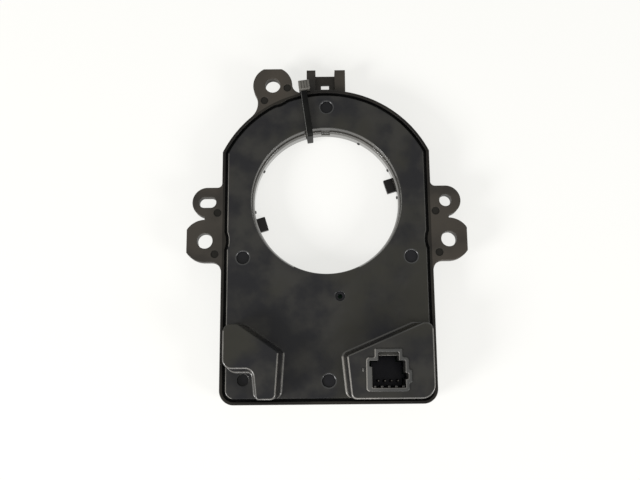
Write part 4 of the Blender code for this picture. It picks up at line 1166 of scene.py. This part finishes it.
    def _dimple_places(self) -> list[Point]:
        """The middles of the marks beside the holes of the ears.

        Returns:
            The middles.
        """
        hole = PLAN.top_hole
        places = [(hole[0] + x, hole[1] + y) for x, y in self.top_dimples]
        marks = ((PLAN.locator, self.locator_dimple), (PLAN.screw, self.screw_dimple))
        for near, (x, y) in marks:
            places += [(near[0] - x, near[1] - y), (x - near[0], near[1] - y)]
        return places

    def _dimples(self) -> list[Solid]:
        """The shallow round marks beside the holes of the ears.

        Returns:
            The cutters.
        """
        floor, front, rim = PLAN.rim_top - self.dimple_depth, PLAN.rim_top, self.dimple_rim
        places = self._dimple_places()
        return [Solid.drill(place, self.dimple_radius, floor, front, rim) for place in places]

    def on_rim(self, point: Vector, _normal: Vector) -> bool:
        """Whether a point of the surface is on the rim round the cover.

        Args:
            point: A face's middle, in millimetres about the bore axis.
            _normal: The face's normal, which doesn't matter here.

        Returns:
            Whether the face is there.
        """
        inside = abs(point.x) < PLAN.half_width + SAME_POINT
        if point.y > self.rim_shoulder:
            inside = point.xy.length < PLAN.arc_radius + SAME_POINT
        return inside and point.z > PLAN.ear_rear

    def in_gap(self, point: Vector, normal: Vector) -> bool:
        """Whether a point of the surface is in the gap between the rim and the cover, painted near
        black as shade.
        """
        low = point.z < PLAN.rim_top - self.rim_edge
        return low and self.on_rim(point, normal) and point.z > self.ledge_top - SAME_POINT

    def in_dimple(self, point: Vector, _normal: Vector) -> bool:
        """Whether a point of the surface is on the floor of one of the ears' marks."""
        low = PLAN.ear_rear < point.z < PLAN.rim_top - self.dimple_rim
        return low and near_any(point, self._dimple_places(), self.dimple_radius + self.dimple_rim)

    def _tie_groove(self) -> Solid:
        """The channel in the rear face that the tie lies in.

        Returns:
            The cutter.
        """
        start, end, depth = self.groove
        channel = rectangle(start, end, -OVERLAP, depth)
        half = self.groove_half
        return Solid.prism(channel, -half, half).placed(TIE.matrix)


@dataclass(frozen=True)
class Rotor:
    """The sleeve on the shaft with its gear, drive lugs, nubs and index notch."""

    bore: float = 26.05
    front: float = 6.9
    rear: float = 2.6
    lead: Pair = (0.45, 0.9)
    outer: float = 27.9
    rear_outer: float = 27.1
    skirt_top: float = 3.9
    inner_edge: float = 0.2
    soft_edge: float = 0.1
    teeth: int = 62
    pitch_radius: float = 31.0
    addendum: float = 0.9
    dedendum: float = 1.2
    tooth_thick: float = 1.4
    pressure_angle: float = 20.0
    gear_heights: Pair = (3.6, 5.4)
    lug_reach: float = 3.15
    lug_root: float = 0.8
    lug_width: float = 5.2
    lug_heights: Pair = (0.3, 2.1)
    lug_angles: Pair = (16.75, 196.75)
    lug_edge: float = 0.25
    nub_reach: float = 0.3
    nub_size: float = 1.0
    nub_angles: tuple[float, ...] = (5.0, 29.0, 62.0, 151.0, 186.0)
    notch_size: Triple = (3.2, 1.6, 4.8)

    def build(self) -> bpy.types.Object:
        """Builds the rotor as one piece in place of its CAD node.

        Returns:
            The piece.
        """
        soft = self.soft_edge
        lead, lead_depth = self.lead
        profile = [
            Corner(self.bore, self.rear, soft),
            Corner(self.rear_outer, self.rear, soft),
            Corner(self.rear_outer, self.skirt_top, soft),
            Corner(self.outer, self.skirt_top, soft),
            Corner(self.outer, self.front, soft),
            Corner(self.bore + lead, self.front, soft),
            Corner(self.bore, self.front - lead_depth, self.inner_edge),
        ]
        body = Solid.turned(rounded(profile))
        gear = Solid.prism(self._gear_outline(), *self.gear_heights)
        middle = (self.rear_outer + self.outer) / 2
        gear.cut(Solid.prism(circle(BORE, middle, BORE_SIDES), 0, PLAN.rim_top))
        body.join(gear, *self._lugs())
        notch = Vector((0, self.bore, self.front))
        body.cut(Solid.block(notch, Vector(self.notch_size), self.inner_edge))
        return body.piece("rotor_moulding", "hub_rotor", Slot.ROTOR, "rotor")

    def dress(self, piece: bpy.types.Object, wardrobe: Wardrobe) -> None:
        """Puts the rotor's finishes on."""
        # The sleeve's inner wall is painted lighter as a reflection.
        wardrobe.dress(piece, Slot.ROTOR, {"_bore": self.in_bore})

    def _lugs(self) -> list[Solid]:
        """The two drive lugs and the small nubs at the sleeve's rear edge.

        Returns:
            The solids.
        """
        made = [self._lug(angle) for angle in self.lug_angles]
        length, size = self.nub_reach + OVERLAP, self.nub_size
        centre = Vector((self.bore - self.nub_reach + length / 2, 0, self.rear + size / 2))
        for angle in self.nub_angles:
            made.append(Solid.block(centre, Vector((length, size, size)), self.inner_edge, angle))
        return made

    def in_bore(self, point: Vector, normal: Vector) -> bool:
        """Whether a point of the surface is on the sleeve's inner wall or its front ring, which are
        glossy and painted much lighter as a reflection.

        Args:
            point: A face's middle, in millimetres about the bore axis.
            normal: The face's normal.

        Returns:
            Whether the face is there.
        """
        inwards = normal.z > EDGE_TILT[1] or normal.xy.dot(point.xy) < 0
        near, far = self.bore - self.soft_edge, self.outer - self.soft_edge
        return near < point.xy.length < far and inwards and normal.z > -EDGE_TILT[1]

    def _lug(self, angle: float) -> Solid:
        """A lug that reaches into the bore from a root under the sleeve.

        Args:
            angle: Where it stands round the bore, in degrees.

        Returns:
            The lug.
        """
        low, high = self.lug_heights
        root, wall = self.bore + self.lug_root, self.bore + self.soft_edge
        tip, top = self.bore - self.lug_reach, self.rear + OVERLAP
        edge, half = self.lug_edge, self.lug_width / 2
        profile = [
            Corner(tip, low, edge),
            Corner(root, low, edge),
            Corner(root, top, 0),
            Corner(wall, top, 0),
            Corner(wall, high, 0),
            Corner(tip, high, edge),
        ]
        lug = Solid.prism(rounded(profile), -half, half, edge, edge)
        return lug.placed(upright(BORE, angle - QUARTER))

    def _gear_outline(self) -> Outline:
        """The gear ring's outline, with involute flanks.

        Returns:
            The outline.
        """
        root, tip = self.pitch_radius - self.dedendum, self.pitch_radius + self.addendum
        points = []
        for i in range(self.teeth):
            middle = math.tau * i / self.teeth
            flank = [(r, self._half_angle(r)) for r in (root, self.pitch_radius, tip)]
            for radius, half in [(r, -a) for r, a in flank] + flank[::-1]:
                angle = middle + half
                points.append((radius * math.cos(angle), radius * math.sin(angle)))
        return points

    def _half_angle(self, radius: float) -> float:
        """Half a tooth's angle at a radius, in radians.

        Args:
            radius: The radius, in millimetres.

        Returns:
            The angle.
        """
        pressure = math.radians(self.pressure_angle)
        angle = math.acos(min(1.0, self.pitch_radius * math.cos(pressure) / radius))
        flank = math.tan(pressure) - pressure
        return self.tooth_thick / 2 / self.pitch_radius + flank - (math.tan(angle) - angle)


@dataclass(frozen=True)
class Tie:
    """The shipping tie round the ring of the sensor, with its ribbed head outside."""

    place: Point = (-5.75, 24.7)
    tilt: float = 7.6
    reach: float = 16.6
    width: float = 2.2
    thick: float = 1.1
    rear: float = 0.1
    front: float = 11.8
    bend: float = 0.3
    rear_bend: float = 1.9
    edge: float = 0.2
    head_width: float = 4.0
    head_shift: float = 0.45
    head_far: float = 20.3
    head_heights: Pair = (7.6, 12.1)
    head_proud: float = 0.05
    head_corner: float = 0.6
    head_edge: float = 0.25
    ribs: int = 4
    rib_depth: float = 0.3
    rib_margin: float = 0.4
    rib_gap: float = 1 / 3

    @property
    def matrix(self) -> Matrix:
        """Stands a shape up along the strap, from where the tie crosses the bore's edge."""
        return upright(self.place, self.tilt)

    def build(self) -> bpy.types.Object:
        """Builds the tie as one piece in place of its CAD node.

        Returns:
            The piece.
        """
        half = self.width / 2
        tie = Solid.prism(self._loop(self.thick), -half, half, self.edge, self.edge)
        tie.cut(Solid.prism(self._loop(0.0), -half, half, -self.edge, -self.edge))
        tie.join(self._head()).cut(*self._rib_cuts())
        tie.placed(self.matrix)
        return tie.piece("tie_moulding", "housing", Slot.TIE, "shipping_tie")

    def dress(self, piece: bpy.types.Object, wardrobe: Wardrobe) -> None:
        """Puts the tie's finishes on."""
        # The strap's left edge gets a painted highlight.
        wardrobe.dress(piece, Slot.TIE, {"_edge": self.on_edge, "_head": self.on_head})

    def on_edge(self, point: Vector, normal: Vector) -> bool:
        """Whether a point of the surface is on the strap's rounded left edge, where a highlight is
        painted.
        """
        return point.z > self.front - self.thick and normal.x < -EDGE_TILT[0] < 0 < normal.z

    def on_head(self, point: Vector, _normal: Vector) -> bool:
        """Whether a point of the surface is on the head."""
        along, up, _ = self.matrix.inverted() @ point
        return along > self.reach - self.edge and up > self.head_heights[0] - self.edge

    def _loop(self, out: float) -> Outline:
        """The band's inside, moved out by the band's thickness for its outside.

        Args:
            out: How far it is moved out.

        Returns:
            The outline, as seen along the band's edge.
        """
        low, high = self.rear + self.thick - out, self.front - self.thick + out
        corners = rectangle(-out, self.reach + out, low, high)
        bends = (self.rear_bend, self.bend, self.bend, self.bend)
        return rounded([Corner(x, y, bend + out) for (x, y), bend in zip(corners, bends)])

    def _head(self) -> Solid:
        """The tie's head, with rounded edges.

        Returns:
            The solid.
        """
        corner, edge = self.head_corner, self.head_edge
        left, right = self.head_shift - self.head_width / 2, self.head_shift + self.head_width / 2
        outline = rectangle(self.reach - self.head_proud, self.head_far, *self.head_heights)
        head = rounded([Corner(x, y, corner) for x, y in outline])
        return Solid.prism(head, left, right, edge, edge)

    def _rib_cuts(self) -> list[Solid]:
        """The grooves between the head's ribs.

        Returns:
            The cutters.
        """
        pitch, front = self.head_width / self.ribs, self.head_heights[1]
        left, right = self.reach + self.rib_margin, self.head_far - self.rib_margin
        slot = rectangle(left, right, front - self.rib_depth, front + OVERLAP)
        made, half = [], pitch * self.rib_gap / 2
        for i in range(1, self.ribs):
            across = self.head_shift + i * pitch - self.head_width / 2
            made.append(Solid.prism(slot, across - half, across + half))
        return made


TIE = Tie()


class Nodes:
    """A tree of shader nodes that grows node by node."""

    def __init__(self, owner: bpy.types.Material | bpy.types.World) -> None:
        """Turns the nodes of a material or world on."""
        owner.use_nodes = True
        self.tree = owner.node_tree

    def feed(self, node: bpy.types.Node, inputs: Inputs) -> None:
        """Links or sets a node's inputs.

        Args:
            node: The node.
            inputs: An output, a colour or a value for each input, by its name or its place.
        """
        for name, value in inputs.items():
            if isinstance(value, Output):
                self.tree.links.new(value, node.inputs[name])
            elif isinstance(value, tuple):
                node.inputs[name].default_value = (*value, 1.0)
            else:
                node.inputs[name].default_value = value

    def add(self, kind: str, inputs: Inputs, **settings: str) -> bpy.types.Node:
        """Adds a node.

        Args:
            kind: The last part of its type's name.
            inputs: What its inputs are fed with.
            **settings: Its options, set before its inputs.

        Returns:
            The node.
        """
        node = self.tree.nodes.new("ShaderNode" + kind)
        for name, value in settings.items():
            setattr(node, name, value)
        self.feed(node, inputs)
        return node

    def noise(self, place: Output, scale: float, detail: float) -> Output:
        """Adds a noise texture of so many features a metre, which reads about 0.3 to 0.7."""
        inputs = {"Vector": place, "Scale": scale, "Detail": detail}
        return self.add("TexNoise", inputs).outputs["Fac"]

    def ramp(
        self,
        value: Output,
        source: Pair = (0.0, 1.0),
        target: Pair = (0.0, 1.0),
        smooth: bool = False,
    ) -> Output:
        """Stretches a value from one range to another.

        Args:
            value: The value.
            source: The range that it comes from.
            target: The range that it is stretched to.
            smooth: Whether it eases in and out.

        Returns:
            The stretched value.
        """
        names = ("From Min", "From Max", "To Min", "To Max")
        inputs = {"Value": value, **dict(zip(names, (*source, *target)))}
        easing = "SMOOTHSTEP" if smooth else "LINEAR"
        return self.add("MapRange", inputs, interpolation_type=easing).outputs["Result"]

    def mixed(self, share: Output, first: Colour | Output, second: Colour) -> Output:
        """Mixes two colours by a share that varies over the surface."""
        inputs = {"Factor": share, "A": first, "B": second}
        return self.add("Mix", inputs, data_type="RGBA").outputs["Result"]


@dataclass(frozen=True)
class Finish:
    """A surface in layers: soft patches, a tint, fine dust, uneven gloss and a moulded grain."""

    slot: Slot
    colour: Colour
    worn: Colour
    roughness: Pair = (0.4, 0.55)
    metallic: float = 0.0
    specular: float = 0.5
    tint: Colour | None = None
    patch_scale: float = 55.0
    grain_scale: float = 2600.0
    grain_depth: float = 0.012
    speck: Colour = (0.16, 0.15, 0.14)
    speck_share: float = 0.0
    coat: float = 0.0
    part: str = ""

    @property
    def name(self) -> str:
        """The slot's name, with the part of the piece that this finish is for."""
        return self.slot.value + self.part

    def material(self) -> bpy.types.Material:
        """Builds the node material on Object coordinates.

        Returns:
            The material, named for its slot.
        """
        made = bpy.data.materials.new("finish_" + self.name)
        nodes = Nodes(made)
        place = nodes.add("TexCoord", {}).outputs["Object"]
        gloss = nodes.noise(place, self.patch_scale * GLOSS_SCALE, GLOSS_DETAIL)
        height = nodes.noise(place, self.grain_scale, GRAIN_DETAIL)
        depth = {"Strength": BUMP_STRENGTH, "Distance": self.grain_depth * MM}
        look = {
            "Base Color": self._coloured(nodes, place),
            "Metallic": self.metallic,
            "Roughness": nodes.ramp(gloss, GLOSS_RANGE, self.roughness),
            "Specular IOR Level": self.specular,
            "Coat Weight": self.coat,
            "Coat Roughness": COAT_ROUGHNESS,
            "Normal": nodes.add("Bump", {"Height": height, **depth}).outputs["Normal"],
        }
        nodes.feed(made.node_tree.nodes["Principled BSDF"], look)
        return made

    def _coloured(self, nodes: Nodes, place: Output) -> Output:
        """The colour of the patches, the tint and the dust.

        Args:
            nodes: The material's nodes.
            place: Where on the piece the layers are read.

        Returns:
            The colour.
        """
        patches = nodes.noise(place, self.patch_scale, COLOUR_DETAIL)
        share = nodes.ramp(patches, PATCH_RANGE, smooth=True)
        colour = nodes.mixed(share, self.colour, self.worn)
        if self.tint:
            stain = nodes.noise(place, self.patch_scale * TINT_SCALE, COLOUR_DETAIL)
            colour = nodes.mixed(nodes.ramp(stain, TINT_RANGE, smooth=True), colour, self.tint)
        if self.speck_share:
            dust = nodes.noise(place, self.grain_scale * DUST_SCALE, COLOUR_DETAIL)
            high = 1.0 - self.speck_share
            share = nodes.ramp(dust, (high - DUST_SOFTNESS, high), smooth=True)
            colour = nodes.mixed(share, colour, self.speck)
        return colour


FINISHES = (
    Finish(
        Slot.CASE,
        (0.014, 0.012, 0.010),
        (0.036, 0.031, 0.025),
        (0.36, 0.5),
        specular=0.24,
        tint=(0.044, 0.037, 0.029),
        speck=(0.045, 0.039, 0.031),
        speck_share=0.15,
    ),
    Finish(
        Slot.CASE,
        (0.006, 0.0055, 0.004),
        (0.012, 0.011, 0.009),
        (0.3, 0.4),
        specular=0.12,
        part="_mark",
    ),
    Finish(
        Slot.CASE,
        (0.007, 0.006, 0.005),
        (0.016, 0.014, 0.011),
        (0.3, 0.45),
        specular=0.16,
        part="_rim",
    ),
    # Painted shade: the gap between the rim and the cover, near black.
    Finish(
        Slot.CASE,
        (0.002, 0.002, 0.002),
        (0.006, 0.006, 0.006),
        (0.5, 0.65),
        specular=0.12,
        part="_gap",
    ),
    Finish(
        Slot.COVER,
        (0.010, 0.010, 0.0115),
        (0.028, 0.027, 0.0245),
        (0.32, 0.46),
        specular=0.2,
        tint=(0.024, 0.023, 0.0185),
        patch_scale=90.0,
        speck=(0.021, 0.020, 0.019),
        speck_share=0.15,
    ),
    # Painted highlight on the cover's rounded edges, mostly those that face the lamps.
    Finish(
        Slot.COVER,
        (0.072, 0.068, 0.062),
        (0.185, 0.174, 0.157),
        (0.2, 0.32),
        specular=0.8,
        part="_edge",
    ),
    # Dimmer painted highlight on the cover's other rounded edges.
    Finish(
        Slot.COVER,
        (0.019, 0.019, 0.018),
        (0.046, 0.044, 0.040),
        (0.24, 0.36),
        specular=0.5,
        part="_soft_edge",
    ),
    Finish(
        Slot.COVER,
        (0.008, 0.008, 0.009),
        (0.016, 0.016, 0.016),
        (0.2, 0.28),
        specular=0.6,
        part="_ring",
    ),
    Finish(
        Slot.COVER,
        (0.005, 0.005, 0.006),
        (0.010, 0.010, 0.012),
        (0.16, 0.26),
        specular=0.16,
        part="_recess",
    ),
    Finish(
        Slot.COVER,
        (0.030, 0.030, 0.029),
        (0.060, 0.060, 0.057),
        (0.3, 0.4),
        specular=0.5,
        part="_lip",
    ),
    # The cover's bore wall: a little gloss, and painted lighter as a sheen.
    Finish(
        Slot.COVER,
        (0.024, 0.022, 0.019),
        (0.045, 0.042, 0.036),
        (0.2, 0.3),
        specular=0.5,
        coat=0.12,
        part="_bore",
    ),
    Finish(
        Slot.ROTOR,
        (0.004, 0.003, 0.003),
        (0.010, 0.008, 0.007),
        (0.2, 0.3),
        specular=0.2,
        grain_depth=0.003,
    ),
    # The sleeve's inner wall: glossy, and painted much lighter as a reflection of the pale floor.
    Finish(
        Slot.ROTOR,
        (0.050, 0.047, 0.041),
        (0.085, 0.080, 0.070),
        (0.1, 0.16),
        specular=1.0,
        coat=1.0,
        grain_depth=0.003,
        part="_bore",
    ),
    Finish(Slot.GEAR, (0.70, 0.69, 0.65), (0.78, 0.77, 0.73), (0.35, 0.5)),
    Finish(Slot.MAGNET, (0.30, 0.30, 0.31), (0.40, 0.40, 0.41), (0.25, 0.4), metallic=0.9),
    Finish(Slot.BOARD, (0.002, 0.020, 0.009), (0.004, 0.030, 0.013), (0.4, 0.55), specular=0.1),
    Finish(Slot.CHIP, (0.016, 0.016, 0.016), (0.028, 0.028, 0.028), (0.45, 0.6)),
    Finish(Slot.CAN, (0.68, 0.68, 0.69), (0.78, 0.78, 0.78), (0.22, 0.35), metallic=1.0),
    Finish(Slot.HEADER, (0.003, 0.003, 0.006), (0.008, 0.008, 0.013), (0.3, 0.45), specular=0.12),
    Finish(Slot.PIN, (0.10, 0.095, 0.085), (0.15, 0.14, 0.125), (0.3, 0.42), metallic=1.0),
    Finish(Slot.TIE, (0.004, 0.004, 0.004), (0.011, 0.011, 0.010), (0.26, 0.36), specular=0.06),
    # Painted highlight along the strap's left edge.
    Finish(Slot.TIE, (0.10, 0.10, 0.098), (0.16, 0.158, 0.15), (0.2, 0.3), part="_edge"),
    Finish(Slot.TIE, (0.085, 0.080, 0.070), (0.15, 0.142, 0.125), (0.35, 0.5), part="_head"),
)


class Wardrobe:
    """The finishes by name, and how they are put on nodes and new pieces."""

    def __init__(self) -> None:
        """Builds each finish once."""
        self.made = {finish.name: finish.material() for finish in FINISHES}

    def dress_nodes(self) -> None:
        """Gives every CAD node the finish of its own slot."""
        for name, node in frame["nodes"].items():
            slot = self.slot_of(name)
            for place in node.material_slots:
                place.material = self.made[slot]

    @staticmethod
    def slot_of(name: str) -> str:
        """The slot of a CAD node, as the record gives it.

        Args:
            name: The node's name.

        Returns:
            The slot's name.
        """
        for part in frame["record"]["subparts"]:
            if name in part.get("nodes", [part.get("node")]):
                return part["material_slot"]
        return Slot.CASE.value

    def dress(self, piece: bpy.types.Object, slot: Slot, parts: Parts) -> None:
        """Gives a new piece the finish of its slot, and some faces a finish of their own.

        Args:
            piece: The piece.
            slot: Its slot.
            parts: By the ending of each finish's name, what tells from a face's middle, in
                millimetres about the bore axis, and its normal whether the face has that finish.
                The last one wins.
        """
        piece.data.materials.clear()
        for part in ("", *parts):
            piece.data.materials.append(self.made[slot.value + part])
        for face in piece.data.polygons:
            middle = (face.center - BORE_AXIS) / MM
            for index, chosen in enumerate(parts.values(), start=1):
                if chosen(middle, face.normal):
                    face.material_index = index


@dataclass(frozen=True)
class Lamp:
    """A soft rectangular lamp: its name, its place and size in metres, and its power in watts."""

    name: str
    place: Triple
    size: Pair
    power: float

    def build(self) -> None:
        """Adds the lamp, facing the sensor."""
        data = bpy.data.lights.new(self.name, "AREA")
        data.shape = "RECTANGLE"
        data.size, data.size_y = self.size
        data.energy = self.power
        lamp = bpy.data.objects.new(self.name, data)
        lamp.location = self.place
        lamp.rotation_euler = (-Vector(self.place)).to_track_quat("-Z", "Y").to_euler()
        bpy.context.scene.collection.objects.link(lamp)


@dataclass(frozen=True)
class Studio:
    """The pale floor, the soft light and the camera."""

    camera_place: Triple = (-1.877, -48.905, 253.572)
    camera_turn: Triple = (10.4034, 0.2249, -0.5292)
    lens: float = 39.375
    sensor_width: float = 36.0
    clip: Pair = (0.01, 10.0)
    floor_size: float = 3.0
    floor_drop: float = 0.02
    white: Colour = (1.0, 0.998, 0.97)
    sky_strength: float = 0.35
    paper_colour: Colour = (0.97, 0.96, 0.93)
    paper_roughness: float = 0.9
    paper_glow: float = 0.72
    lamps: tuple[Lamp, ...] = (
        Lamp("window_foot", (0.0, -0.8, 0.4), (0.7, 0.2), 2.5),
        Lamp("lamp_left", (-0.75, -0.42, 0.5), (0.3, 0.3), 7.5),
        Lamp("lamp_right", (0.75, -0.42, 0.5), (0.3, 0.3), 4.0),
    )

    def build(self) -> None:
        """Sets the stage, the light and the camera."""
        scene = bpy.context.scene
        scene.view_settings.view_transform = "Standard"
        self._camera(scene)
        self._world(scene)
        self._floor(scene)
        for lamp in self.lamps:
            lamp.build()

    def _camera(self, scene: bpy.types.Scene) -> None:
        """Places the camera where the photograph was taken from.

        Args:
            scene: The scene.
        """
        data = bpy.data.cameras.new("camera")
        data.lens, data.sensor_width = self.lens, self.sensor_width
        data.clip_start, data.clip_end = self.clip
        camera = bpy.data.objects.new("camera", data)
        camera.location = Vector(self.camera_place) * MM
        camera.rotation_euler = Euler([math.radians(a) for a in self.camera_turn], "XYZ")
        scene.collection.objects.link(camera)
        scene.camera = camera

    def _world(self, scene: bpy.types.Scene) -> None:
        """A pale surrounding light, white where the camera sees it.

        Args:
            scene: The scene.
        """
        scene.world = bpy.data.worlds.new("studio")
        nodes = Nodes(scene.world)
        strength = nodes.ramp(self._seen(nodes), target=(self.sky_strength, 1.0))
        back = scene.world.node_tree.nodes["Background"]
        nodes.feed(back, {"Color": self.white, "Strength": strength})

    @staticmethod
    def _seen(nodes: Nodes) -> Output:
        """One where the camera sees a surface directly, in a reflection or through glass.

        Args:
            nodes: The nodes that it is added to.

        Returns:
            The value, 0 or 1.
        """
        path = nodes.add("LightPath", {})
        total = path.outputs["Is Camera Ray"]
        for ray in ("Is Glossy Ray", "Is Transmission Ray"):
            either = nodes.add("Math", {0: total, 1: path.outputs[ray]}, operation="MAXIMUM")
            total = either.outputs["Value"]
        return total

    def _floor(self, scene: bpy.types.Scene) -> None:
        """A wide pale sheet under the sensor.

        Args:
            scene: The scene.
        """
        work = bmesh.new()
        bmesh.ops.create_grid(work, x_segments=1, y_segments=1, size=self.floor_size / 2)
        mesh = bpy.data.meshes.new("floor")
        work.to_mesh(mesh)
        work.free()
        floor = bpy.data.objects.new("floor", mesh)
        floor.location = (0.0, 0.0, -self.floor_drop * MM)
        scene.collection.objects.link(floor)
        mesh.materials.append(self._paper())

    def _paper(self) -> bpy.types.Material:
        """The floor's finish, white where the camera sees it.

        Returns:
            The material.
        """
        paper = bpy.data.materials.new("paper")
        nodes = Nodes(paper)
        matt, end = (paper.node_tree.nodes[n] for n in ("Principled BSDF", "Material Output"))
        nodes.feed(matt, {"Base Color": self.paper_colour, "Roughness": self.paper_roughness})
        glow = nodes.add("Emission", {"Color": self.white}).outputs["Emission"]
        share = nodes.ramp(self._seen(nodes), target=(0.0, self.paper_glow))
        mix = nodes.add("MixShader", {"Fac": share, 1: matt.outputs["BSDF"], 2: glow})
        nodes.feed(end, {"Surface": mix.outputs["Shader"]})
        return paper


def main() -> None:
    """Builds the sensor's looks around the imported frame."""
    logging.basicConfig(level=logging.INFO, format="%(message)s")
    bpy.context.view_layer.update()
    wardrobe = Wardrobe()
    wardrobe.dress_nodes()
    for maker in (Cover(), Case(), Rotor(), TIE):
        piece = maker.build()
        maker.dress(piece, wardrobe)
        LOG.info("%s: %d faces", piece.name, len(piece.data.polygons))
    Studio().build()


if __name__ == "__main__":
    main()
